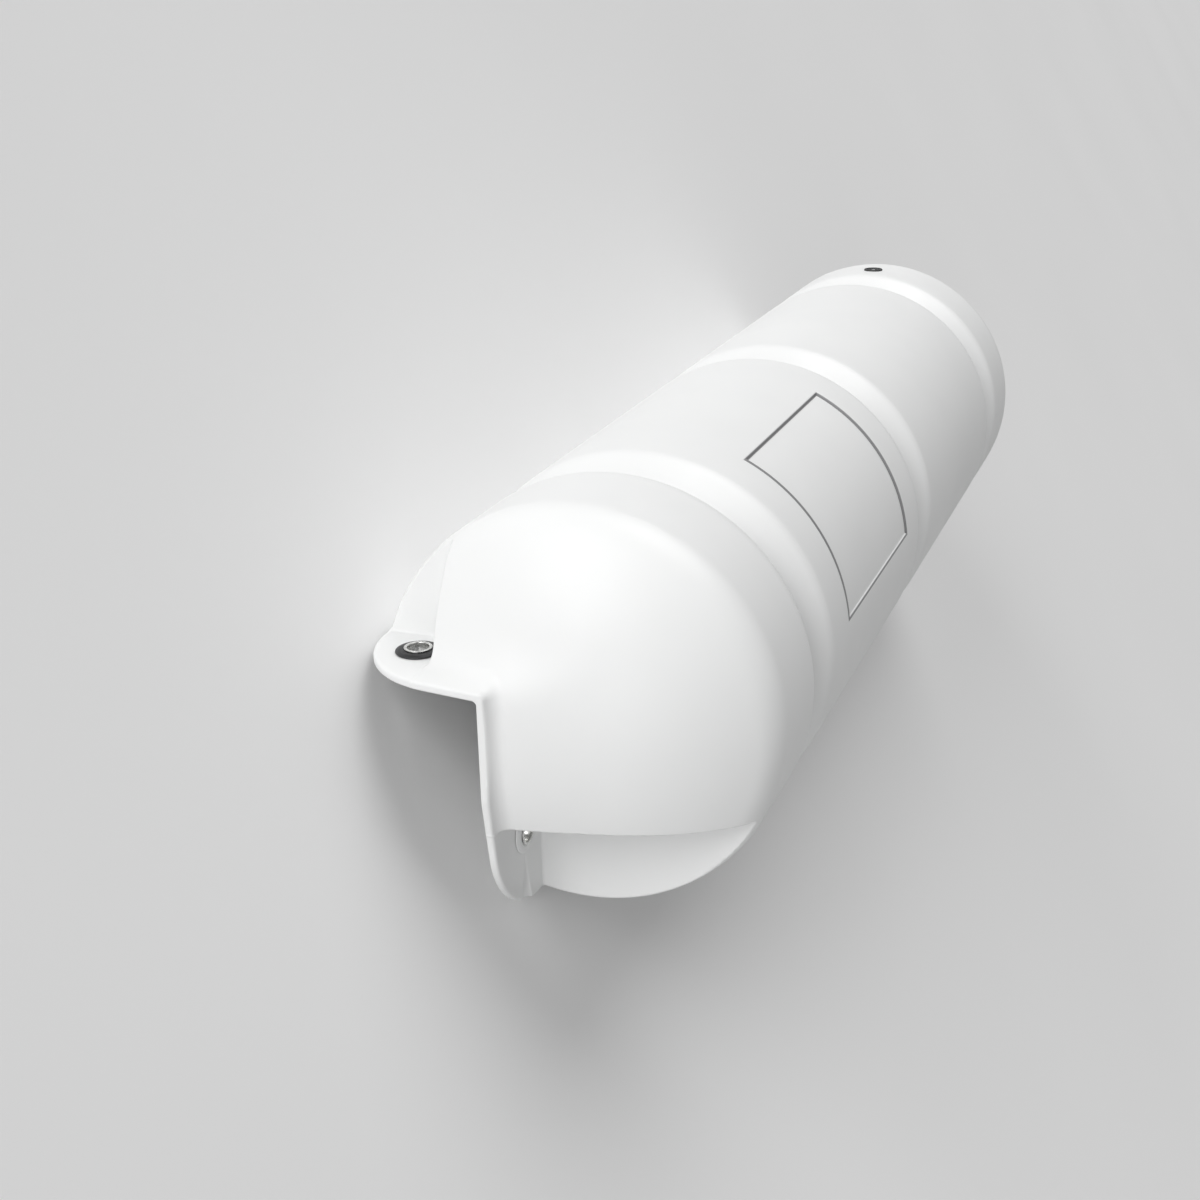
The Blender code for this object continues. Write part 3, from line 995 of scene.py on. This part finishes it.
@dataclass(frozen=True)
class BlackPlastic:
    """Black moulded plastic with a fine grain.

    Attributes:
        base: its colour.
        worn: the colour of its duller patches.
        roughness: the smoothest and the roughest patches.
        clouds: how many patches there are in a metre, and their layers.
        gloss: the same for its smoothness.
        grain: the same for its grain.
        grain_relief: how strongly the grain shows, and its depth.
    """

    base: Colour = (0.012, 0.012, 0.013)
    worn: Colour = (0.028, 0.028, 0.030)
    roughness: tuple[float, float] = (0.34, 0.5)
    clouds: tuple[float, float] = (160.0, 3.0)
    gloss: tuple[float, float] = (300.0, 2.0)
    grain: tuple[float, float] = (2600.0, 2.0)
    grain_relief: tuple[float, float] = (0.2, 0.0001)

    def material(self) -> bpy.types.Material:
        """Builds the material.

        Returns:
            The material.
        """
        sheet = NodeSheet.fresh("black_moulded_plastic")
        cloud = sheet.spread(sheet.noise(*self.clouds), 0.0, 1.0)
        sheet.link(sheet.blend(cloud, self.base, self.worn), sheet.shader.inputs["Base Color"])
        gloss = sheet.spread(sheet.noise(*self.gloss), *self.roughness)
        sheet.link(gloss, sheet.shader.inputs["Roughness"])
        grain = sheet.bump(sheet.noise(*self.grain), *self.grain_relief)
        sheet.link(grain, sheet.shader.inputs["Normal"])
        return sheet.material


@dataclass(frozen=True)
class PressedSteel:
    """Bright pressed stainless steel with faint drawing marks.

    Attributes:
        light: its colour.
        shade: the colour of its duller patches.
        roughness: the smoothest and the roughest patches.
        clouds: how many patches there are in a metre, and their layers.
        gloss: the same for its smoothness.
        marks: the same for the drawing marks.
        mark_relief: how strongly the marks show, and their depth.
    """

    light: Colour = (0.78, 0.78, 0.76)
    shade: Colour = (0.62, 0.62, 0.61)
    roughness: tuple[float, float] = (0.2, 0.36)
    clouds: tuple[float, float] = (240.0, 3.0)
    gloss: tuple[float, float] = (900.0, 3.0)
    marks: tuple[float, float] = (1800.0, 2.0)
    mark_relief: tuple[float, float] = (0.15, 0.00008)

    def material(self) -> bpy.types.Material:
        """Builds the material.

        Returns:
            The material.
        """
        sheet = NodeSheet.fresh("pressed_steel")
        cloud = sheet.spread(sheet.noise(*self.clouds), 0.0, 1.0)
        sheet.link(sheet.blend(cloud, self.light, self.shade), sheet.shader.inputs["Base Color"])
        gloss = sheet.spread(sheet.noise(*self.gloss), *self.roughness)
        sheet.link(gloss, sheet.shader.inputs["Roughness"])
        marks = sheet.bump(sheet.noise(*self.marks), *self.mark_relief)
        sheet.link(marks, sheet.shader.inputs["Normal"])
        sheet.shader.inputs["Metallic"].default_value = 1.0
        return sheet.material


@dataclass(frozen=True)
class StudioPaper:
    """The pale floor.

    Attributes:
        light: its colour.
        shade: the colour of its faint clouds.
        clouds: how many clouds there are in a metre, and their layers.
        roughness: how dull it is.
    """

    light: Colour = (0.86, 0.86, 0.86)
    shade: Colour = (0.84, 0.84, 0.84)
    clouds: tuple[float, float] = (1.5, 2.0)
    roughness: float = 0.9

    def material(self) -> bpy.types.Material:
        """Builds the material.

        Returns:
            The material.
        """
        sheet = NodeSheet.fresh("pale_floor")
        cloud = sheet.spread(sheet.noise(*self.clouds), 0.0, 1.0)
        sheet.link(sheet.blend(cloud, self.light, self.shade), sheet.shader.inputs["Base Color"])
        sheet.shader.inputs["Roughness"].default_value = self.roughness
        return sheet.material


# Pieces


@dataclass
class FenderSkin:
    """The moulded body's visible skin: one closed mesh on the form's surface.

    The barrel is a row of rings as far as seam_y, and each end is meshed on a grid. Each *_fine is
    where the rings or the grid lines lie closer: a half-width and a spacing, with a middle first
    where no size of the form gives it. The seed is a place inside every section, from which the
    seam's vertices are put in order.
    """

    form: FenderForm
    seam_y: float = 0.3955
    ring_gap: float = 0.0012
    seed: tuple[float, float] = (0.005, 0.062)
    # Rings and columns of the barrel
    plain_row: float = 0.018
    row_growth: float = 0.35
    groove_row: float = 0.0022
    groove_root_row: float = 0.0011
    shoulder_fine: Point = (0.390, 0.006, 0.003)
    line_step: float = 0.00028
    plain_limit: float = 0.36
    arc_step: float = 0.0052
    arc_growth: float = 0.4
    arc_edge_fine: tuple[float, float] = (0.001, 0.0015)
    bend_steps: int = 4
    top_steps: int = 11
    side_steps: int = 16
    ring_rounds: int = 3
    # Grid of an end
    end_base: float = 0.0036
    end_growth: float = 0.45
    end_margin: float = 0.002
    open_margin: float = 0.001
    tab_margin: float = 0.0014
    tab_spacing: float = 0.0008
    pocket_fine: tuple[float, float] = (0.0016, 0.0009)
    eyelet_fine: tuple[float, float] = (0.010, 0.0024)
    upper_side_fine: tuple[float, float] = (0.008, 0.0022)
    lower_side_fine: tuple[float, float] = (0.030, 0.0019)
    wall_fine: tuple[float, float] = (0.0016, 0.0008)
    tip_fine: Point = (0.463, 0.0095, 0.0013)
    lead_fine: tuple[float, float] = (0.009, 0.0011)
    end_rounds: int = 5

    def build(self) -> Shell:
        """Meshes the barrel and both ends and sews them together.

        Returns:
            The mesh, in the dock frame.
        """
        barrel, low_ring, high_ring = self.barrel()
        far, far_ring = self.end()
        near = Shell(far.points * np.array([1.0, -1.0, 1.0]), far.faces[:, ::-1])
        shell = barrel.joined(far)
        far_ring = far_ring + len(barrel.points)
        near_ring = far_ring + len(far.points)
        shell = shell.joined(near)
        strips = self.sewn(shell.points, high_ring, far_ring)
        strips += self.sewn(shell.points, low_ring, near_ring)
        shell.faces = np.concatenate([shell.faces, np.array(strips)])
        return self.facing_out(shell)

    def sewn(self, points: Array, first: Array, second: Array) -> list[list[int]]:
        """Joins two rings that follow the fender's section.

        Args:
            points: the mesh's vertices.
            first: the first ring's vertex numbers.
            second: the second ring's.

        Returns:
            The faces between them.
        """
        rings = []
        for ring in (first, second):
            place = points[ring]
            angle = np.arctan2(place[:, 2] - self.seed[1], place[:, 0] - self.seed[0])
            order = np.argsort(angle)
            rings.append((ring[order], angle[order]))
        return zipped(rings[0][0], rings[1][0], rings[0][1], rings[1][1])

    def facing_out(self, shell: Shell) -> Shell:
        """Turns round each face that looks inwards.

        Args:
            shell: the mesh.

        Returns:
            The mesh with all faces looking out.
        """
        corners = shell.points[shell.faces]
        normal = np.cross(corners[:, 2] - corners[:, 0], corners[:, 3] - corners[:, 1])
        flat = shell.faces[:, 2] == shell.faces[:, 3]
        triangle = np.cross(corners[:, 1] - corners[:, 0], corners[:, 2] - corners[:, 0])
        normal[flat] = triangle[flat]
        outward = self.form.gradient(corners.mean(axis=1))
        wrong = (normal * outward).sum(axis=1) < 0.0
        turned = shell.faces.copy()
        turned[wrong & ~flat] = shell.faces[wrong & ~flat][:, ::-1]
        turned[wrong & flat] = shell.faces[wrong & flat][:, [1, 0, 2, 2]]
        return Shell(shell.points, turned)

    def row_lines(self) -> Array:
        """Where the rings of the barrel's mesh lie.

        Returns:
            Each ring's y, in rising order.
        """
        form = self.form
        fine = []
        for place in form.groove_places:
            fine.append((place, form.groove_root, self.groove_root_row))
            fine.append((place, form.groove_half_width, self.groove_row))
        for edge, inward, line in zip(form.panel_y, (1.0, -1.0), (form.near_line, form.far_line)):
            fine.append(self.line_place(edge, inward, line))
        stop = self.seam_y - self.ring_gap
        shoulder, *beside = self.shoulder_fine
        fine += [(shoulder, *beside), (-shoulder, *beside)]
        return graded(-stop, stop, self.plain_row, fine, self.row_growth)

    def line_place(self, edge: float, inward: float, line: tuple[float, float]) -> Point:
        """Where the mesh is fine at one of the label panel's borders.

        Args:
            edge: the border's place.
            inward: the sign of the direction into the panel.
            line: where the fine line starts and stops, counted inwards from the border.

        Returns:
            The fine part's middle, half-width and spacing.
        """
        wall = self.form.panel_edge
        start = min(line[0] - self.form.line_edge, -wall)
        stop = max(line[1] + self.form.line_edge, wall)
        return edge + inward * (start + stop) / 2.0, (stop - start) / 2.0, self.line_step

    def arc_turns(self) -> Array:
        """Where the barrel's columns lie between the notch's two edges.

        Returns:
            Each column's place, from 0 to 1.
        """
        form = self.form
        low, high = self.edge_turns(form.barrel_radius)
        radius = form.barrel_radius
        lines = (form.low_line, form.high_line)
        fine = [
            self.line_place(turn * radius, inward, line)
            for turn, inward, line in zip(form.panel_turn, (1.0, -1.0), lines)
        ]
        fine += [(low * radius, *self.arc_edge_fine), (high * radius, *self.arc_edge_fine)]
        lines = graded(low * radius, high * radius, self.arc_step, fine, self.arc_growth)
        return (lines / radius - low) / (high - low)

    def edge_turns(self, radius: float) -> tuple[float, float]:
        """The angles at which the barrel meets the notch's rounded edges.

        Args:
            radius: the barrel's radius there.

        Returns:
            The lower and the upper edge's angle.
        """
        form = self.form
        inner = radius - form.notch_edge
        low_x = form.dock_side_x + form.notch_edge
        high_z = form.dock_top_z + form.notch_edge
        low = atan2(-sqrt(inner**2 - low_x**2), low_x)
        high = atan2(high_z, -sqrt(inner**2 - high_z**2))
        return low, high

    def section(self, radius: float, turns: Array) -> Array:
        """The fender's section where the barrel has some radius.

        Args:
            radius: the barrel's radius there.
            turns: the columns' places along the arc, from 0 to 1.

        Returns:
            Points (x, z) round the section, without the first one again.
        """
        form = self.form
        edge = form.notch_edge
        low, high = self.edge_turns(radius)
        angles = low + (high - low) * turns
        arc = np.stack([np.cos(angles), np.sin(angles)], axis=1) * radius
        inner = radius - edge
        upper = np.array([cos(high), sin(high)]) * inner
        lower = np.array([cos(low), sin(low)]) * inner
        upper_round = self.fan(upper, edge, high, 1.5 * pi, self.bend_steps)[1:]
        lower_round = self.fan(lower, edge, pi, low + 2.0 * pi, self.bend_steps)[:-1]
        corner = np.array([form.dock_side_x, form.dock_top_z])
        bend = form.notch_corner
        top_run = self.run(upper_round[-1], corner - [bend, 0.0], self.top_steps)
        inner_bend = self.fan(corner - bend, bend, 0.5 * pi, 0.0, self.bend_steps)
        side_run = self.run(inner_bend[-1], lower_round[0], self.side_steps)
        return np.concatenate([arc, upper_round, top_run, inner_bend, side_run, lower_round])

    @staticmethod
    def fan(middle: Array, radius: float, start: float, stop: float, steps: int) -> Array:
        """Points along an arc in so many steps, both ends included."""
        turns = np.linspace(start, stop, steps + 1)
        return middle + radius * np.stack([np.cos(turns), np.sin(turns)], axis=1)

    @staticmethod
    def run(start: Array, stop: Array, steps: int) -> Array:
        """Points between two places in so many steps, neither included."""
        share = np.linspace(0.0, 1.0, steps + 1)[1:-1, None]
        return start + (stop - start) * share

    def barrel(self) -> tuple[Shell, Array, Array]:
        """Meshes the barrel as rings of one section.

        Returns:
            The mesh, and the vertex numbers of its first and last ring.
        """
        turns = self.arc_turns()
        rows = self.row_lines()
        drops = self.form.groove_drop(rows)
        rings = []
        for y, drop in zip(rows, drops):
            flat = self.section(self.form.barrel_radius - float(drop), turns)
            rings.append(np.stack([flat[:, 0], np.full(len(flat), y), flat[:, 1]], axis=1))
        count = len(rings[0])
        points = np.concatenate(rings)
        on_arc = np.tile(np.arange(count) < len(turns), len(rows))
        on_arc &= np.abs(points[:, 1]) < self.plain_limit
        points[~on_arc] = self.form.settle(points[~on_arc], self.ring_rounds, hold_y=True)
        x, y, z = points[on_arc].T
        sunk = 1.0 - self.form.panel_drop(x, y, z) / np.hypot(x, z)
        points[on_arc] = np.stack([x * sunk, y, z * sunk], axis=1)
        start = np.arange(len(rows) - 1)[:, None] * count
        column = np.arange(count)[None, :]
        after = (column + 1) % count
        faces = np.stack(
            [start + column, start + after, start + count + after, start + count + column], axis=-1
        ).reshape(-1, 4)
        first = np.arange(count)
        last = first + (len(rows) - 1) * count
        return Shell(points, faces), first, last

    def end(self) -> tuple[Shell, Array]:
        """Meshes the far end on a graded grid.

        Returns:
            The mesh, and the numbers of the vertices at its open ring.
        """
        form = self.form
        reach = form.barrel_radius + self.end_margin
        half_tab = form.tab_thickness / 2.0
        thin = half_tab + self.tab_margin
        x_fine = [
            (form.dock_side_x + half_tab, thin, self.tab_spacing),
            (form.upper_pocket_x, *self.pocket_fine),
            (form.upper_eyelet_x, *self.eyelet_fine),
            (-form.barrel_radius, *self.upper_side_fine),
        ]
        z_fine = [
            (form.dock_top_z + half_tab, thin, self.tab_spacing),
            (form.lower_pocket_z, *self.pocket_fine),
            (form.lower_eyelet_z, *self.eyelet_fine),
            (-form.barrel_radius, *self.lower_side_fine),
        ]
        y_fine = [
            (form.end_wall, *self.wall_fine),
            self.tip_fine,
            (form.lower_eyelet_y, *self.lead_fine),
        ]
        xs = graded(-reach, reach, self.end_base, x_fine, self.end_growth)
        zs = graded(-reach, reach, self.end_base, z_fine, self.end_growth)
        ys = graded(self.seam_y, form.tab_tip + self.open_margin, self.end_base, y_fine, self.row_growth)
        ys = np.concatenate([[self.seam_y - self.open_margin], ys])
        grid = np.stack(np.meshgrid(xs, ys, zs, indexing="ij"), axis=-1)
        values = form.distance(grid.reshape(-1, 3)).reshape(grid.shape[:3])
        shell, cells = surface_net(values, (xs, ys, zs))
        open_ring = cells[:, 1] == 0
        shell.points[open_ring, 1] = self.seam_y
        shell.points = form.settle(shell.points, self.end_rounds)
        shell.points[open_ring, 1] = self.seam_y
        ring = np.flatnonzero(open_ring)
        shell.points[ring] = form.settle(shell.points[ring], self.ring_rounds, hold_y=True)
        return shell, ring

    def dress(self, finish: bpy.types.Material) -> bpy.types.Object:
        """Makes the skin's object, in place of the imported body.

        Args:
            finish: the body's material.

        Returns:
            The object.
        """
        shell = self.build()
        normals = self.form.gradient(shell.points)
        normals /= np.linalg.norm(normals, axis=1)[:, None]
        rest = self.form.rest_frame()
        placed = Shell(rest.points(shell.points), shell.faces)
        piece = new_piece("fender_skin", placed, finish, rest.directions(normals))
        # The border attribute is painted shade: it darkens the skin's colour along the panel's sunk line.
        line = self.form.border_groove_and_shade(*shell.points.T)
        layer = piece.data.attributes.new(PAINTED_BORDER_SHADE, "FLOAT", "POINT")
        layer.data.foreach_set("value", line.astype(np.float32))
        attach(piece, ROOT_BODY)
        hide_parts("fender_body")
        return piece


@dataclass
class EyeletPair:
    """One tab's eyelet, black in an upper tab and white in a lower one, and its steel liner.

    The flange's crown lies between two places, counted out from the liner's lip and in from the
    flange's edge. Each *_rounding is the radius of a corner of the section.
    """

    form: FenderForm
    leg: Leg
    end: End
    bore: float = 0.0078
    barrel: float = 0.0095
    flange: float = 0.0135
    flange_thickness: float = 0.0018
    liner_bore: float = 0.0065
    liner: float = 0.0075
    lip: float = 0.0084
    lip_thickness: float = 0.0006
    gap: float = 0.0003
    steps: int = 72
    corner_steps: int = 4
    bore_dip: float = 0.0001
    crown: tuple[float, float] = (0.0010, 0.0022)
    crown_dip: float = 0.00015
    rim_drop: float = 0.0010
    bore_rounding: float = 0.0003
    crown_rounding: tuple[float, float] = (0.0006, 0.0008)
    rim_rounding: float = 0.0006
    seat_rounding: float = 0.00015
    foot_rounding: float = 0.0004
    lip_steps: int = 5
    roll_rounding: float = 0.0005
    lip_rounding: tuple[float, float] = (0.00028, 0.00025)
    tube_rounding: tuple[float, float] = (0.0002, 0.0004)

    def seat(self) -> Matrix:
        """Where the eyelet's flange meets the tab, in the row's frame.

        Returns:
            The matrix that places an eyelet whose axis is Z.
        """
        form = self.form
        side = self.end.value
        if self.leg is Leg.UPPER:
            place = (form.upper_eyelet_x, side * form.upper_eyelet_y, form.dock_top_z + form.tab_thickness)
            turn = Matrix.Identity(4)
        else:
            place = (form.dock_side_x + form.tab_thickness, side * form.lower_eyelet_y, form.lower_eyelet_z)
            turn = Matrix.Rotation(pi / 2.0, 4, "Y")
        return form.rest_frame().matrix() @ Matrix.Translation(place) @ turn

    def ring_shell(self) -> Shell:
        """The eyelet: a softly domed flange on a plain barrel.

        Returns:
            Its mesh.
        """
        top = self.gap + self.flange_thickness
        foot = -self.form.tab_thickness + self.gap
        corners = [
            (self.bore, top - self.bore_dip, self.bore_rounding),
            (self.lip + self.crown[0], top, self.crown_rounding[0]),
            (self.flange - self.crown[1], top - self.crown_dip, self.crown_rounding[1]),
            (self.flange, top - self.rim_drop, self.rim_rounding),
            (self.flange, self.gap, self.seat_rounding),
            (self.barrel, self.gap, 0.0),
            (self.barrel, foot, self.foot_rounding),
            (self.bore, foot, self.bore_rounding),
        ]
        return turned_shell(rounded_profile(corners, self.corner_steps, True), self.steps, True)

    def liner_shell(self) -> Shell:
        """The steel liner: a thin tube with a rolled lip.

        Returns:
            Its mesh.
        """
        seat = self.gap + self.flange_thickness + self.gap
        top = seat + self.lip_thickness
        foot = -self.form.tab_thickness + self.gap
        corners = [
            (self.liner_bore, top, self.roll_rounding),
            (self.lip, top, self.lip_rounding[0]),
            (self.lip, seat, self.lip_rounding[1]),
            (self.liner, seat, 0.0),
            (self.liner, foot, self.tube_rounding[0]),
            (self.liner_bore, foot, self.tube_rounding[1]),
        ]
        return turned_shell(rounded_profile(corners, self.lip_steps, True), self.steps, True)

    def dress(
        self, plastic: bpy.types.Material, steel: bpy.types.Material, slot: Slot
    ) -> list[bpy.types.Object]:
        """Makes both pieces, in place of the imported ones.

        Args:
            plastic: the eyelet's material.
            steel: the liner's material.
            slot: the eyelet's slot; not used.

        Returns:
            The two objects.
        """
        tab = f"{self.leg.value}_{self.end.name.lower()}"
        made = []
        for kind, shell, finish, of_slot in (
            ("eyelet", self.ring_shell(), plastic, slot),
            ("eyelet_liner", self.liner_shell(), steel, Slot.STEEL),
        ):
            points = np.array([self.seat() @ Vector(p) for p in shell.points])
            node = f"{kind}_{tab}"
            piece = new_piece(f"{kind}_dressed_{tab}", Shell(points, shell.faces), finish)
            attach(piece, ROOT_BODY)
            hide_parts(node)
            made.append(piece)
        return made


@dataclass
class FillingValve:
    """The small black valve plug on top of the barrel.

    The button and the ring groove each lie between two radii. Each *_drop is how far a part lies
    below the plug's top, and each *_rounding is the radius of its corners.
    """

    form: FenderForm
    place_y: float = 0.360
    radius: float = 0.0085
    stand: float = 0.0010
    seat_depth: float = 0.0037
    recess: float = 0.0029
    recess_drop: float = 0.0011
    recess_rounding: float = 0.0003
    button: tuple[float, float] = (0.0033, 0.0051)
    button_drop: float = 0.0002
    button_rounding: tuple[float, float] = (0.00025, 0.0003)
    ring_groove: tuple[float, float] = (0.0054, 0.0061)
    ring_groove_drop: float = 0.0007
    ring_groove_rounding: float = 0.0002
    rim: float = 0.0064
    rim_rounding: tuple[float, float] = (0.0003, 0.0006)
    steps: int = 64
    corner_steps: int = 4

    def shell(self) -> Shell:
        """The plug: a rounded rim, a shallow ring groove and a raised button round its recess.

        Returns:
            Its mesh.
        """
        top = self.form.barrel_radius + self.stand
        foot = self.form.barrel_radius - self.seat_depth
        corners = [
            (0.0, top - self.recess_drop, 0.0),
            (self.recess, top - self.recess_drop, self.recess_rounding),
            (self.button[0], top - self.button_drop, self.button_rounding[0]),
            (self.button[1], top - self.button_drop, self.button_rounding[1]),
            (self.ring_groove[0], top - self.ring_groove_drop, self.ring_groove_rounding),
            (self.ring_groove[1], top - self.ring_groove_drop, self.ring_groove_rounding),
            (self.rim, top, self.rim_rounding[0]),
            (self.radius, top, self.rim_rounding[1]),
            (self.radius, foot, 0.0),
            (0.0, foot, 0.0),
        ]
        return turned_shell(rounded_profile(corners, self.corner_steps, False), self.steps, False)

    def dress(self, finish: bpy.types.Material) -> bpy.types.Object:
        """Makes the plug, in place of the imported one.

        Args:
            finish: the plug's material.

        Returns:
            The object.
        """
        seat = self.form.rest_frame().matrix() @ Matrix.Translation((0.0, self.place_y, 0.0))
        shell = self.shell()
        points = np.array([seat @ Vector(p) for p in shell.points])
        piece = new_piece("filling_valve_dressed", Shell(points, shell.faces), finish)
        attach(piece, ROOT_BODY)
        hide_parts("filling_valve")
        return piece


# The studio


@dataclass
class Studio:
    """Floor, light and camera."""

    camera_dock: Point = (0.35226, -1.24536, 0.41636)
    right_dock: Point = (0.93243, 0.36059, -0.02351)
    down_dock: Point = (0.10774, -0.33951, -0.93441)
    ahead_dock: Point = (-0.34492, 0.86874, -0.35542)
    focal_pixels: float = 1720.33
    floor_size: float = 60.0
    surround_strength: float = 0.30
    front_lamp_from: Point = (-0.70, -0.70, 0.14)
    front_lamp_strength: float = 0.62
    top_lamp_from: Point = (-0.60, 0.38, 0.71)
    top_lamp_strength: float = 0.42
    low_lamp_from: Point = (0.12, -0.98, 0.14)
    low_lamp_strength: float = 0.25
    lamp_spread: float = radians(40.0)

    def build(self, rest: RestFrame) -> None:
        """Adds everything that isn't the fender.

        Args:
            rest: how the dock frame stands in the row's frame.
        """
        self.floor()
        self.surround()
        self.lamp("front_left_lamp", self.front_lamp_from, self.front_lamp_strength)
        self.lamp("overhead_lamp", self.top_lamp_from, self.top_lamp_strength)
        self.lamp("low_front_lamp", self.low_lamp_from, self.low_lamp_strength)
        self.camera(rest)
        bpy.context.scene.view_settings.view_transform = "Standard"

    def floor(self) -> None:
        """A wide pale floor."""
        half = self.floor_size / 2.0
        points = [(-half, -half, 0.0), (half, -half, 0.0), (half, half, 0.0), (-half, half, 0.0)]
        mesh = bpy.data.meshes.new("studio_floor")
        mesh.from_pydata(points, [], [(0, 1, 2, 3)])
        mesh.materials.append(StudioPaper().material())
        piece = bpy.data.objects.new("studio_floor", mesh)
        bpy.context.scene.collection.objects.link(piece)

    def surround(self) -> None:
        """An even pale surround."""
        world = bpy.data.worlds.new("studio_surround")
        bpy.context.scene.world = world
        world.use_nodes = True
        glow = world.node_tree.nodes["Background"]
        glow.inputs["Color"].default_value = (1.0, 1.0, 1.0, 1.0)
        glow.inputs["Strength"].default_value = self.surround_strength

    def lamp(self, name: str, towards: Point, strength: float) -> None:
        """A far, wide and soft lamp.

        Args:
            name: what it is called.
            towards: the direction it stands in.
            strength: how bright it makes a white sheet that faces it.
        """
        light = bpy.data.lights.new(name, "SUN")
        light.energy = strength * pi
        light.angle = self.lamp_spread
        lamp = bpy.data.objects.new(name, light)
        lamp.rotation_euler = Vector(towards).to_track_quat("Z", "Y").to_euler()
        bpy.context.scene.collection.objects.link(lamp)

    def camera(self, rest: RestFrame) -> None:
        """The camera, where the picture was taken from.

        Args:
            rest: how the dock frame stands in the row's frame.
        """
        axes = rest.directions(np.array([self.right_dock, self.down_dock, self.ahead_dock]))
        right, down, ahead = (Vector(axis).normalized() for axis in axes)
        lens = bpy.data.cameras.new("camera")
        lens.sensor_width = SENSOR_WIDTH
        lens.lens = self.focal_pixels * SENSOR_WIDTH / PHOTO_WIDTH
        camera = bpy.data.objects.new("camera", lens)
        turn = Matrix((right, -down, -ahead)).transposed()
        place = rest.points(np.array([self.camera_dock]))[0]
        camera.matrix_world = Matrix.Translation(place) @ turn.to_4x4()
        bpy.context.scene.collection.objects.link(camera)
        bpy.context.scene.camera = camera


def main() -> None:
    """Builds the fender's pieces in order and reports each."""
    logging.basicConfig(level=logging.INFO, format="%(name)s: %(message)s")
    form = FenderForm()
    plastic = BlackPlastic().material()
    steel = PressedSteel().material()
    pvc = SoftPvc().material()
    pieces = [FenderSkin(form).dress(pvc)]
    for end in End:
        pieces += EyeletPair(form, Leg.UPPER, end).dress(plastic, steel, Slot.BLACK_PLASTIC)
        pieces += EyeletPair(form, Leg.LOWER, end).dress(pvc, steel, Slot.WHITE_PVC)
    pieces.append(FillingValve(form).dress(plastic))
    for piece in pieces:
        mesh = piece.data
        triangles = sum(len(face.vertices) - 2 for face in mesh.polygons)
        log.info("%s: %d triangles", piece.name, triangles)
    Studio().build(form.rest_frame())


if __name__ == "__main__":
    main()
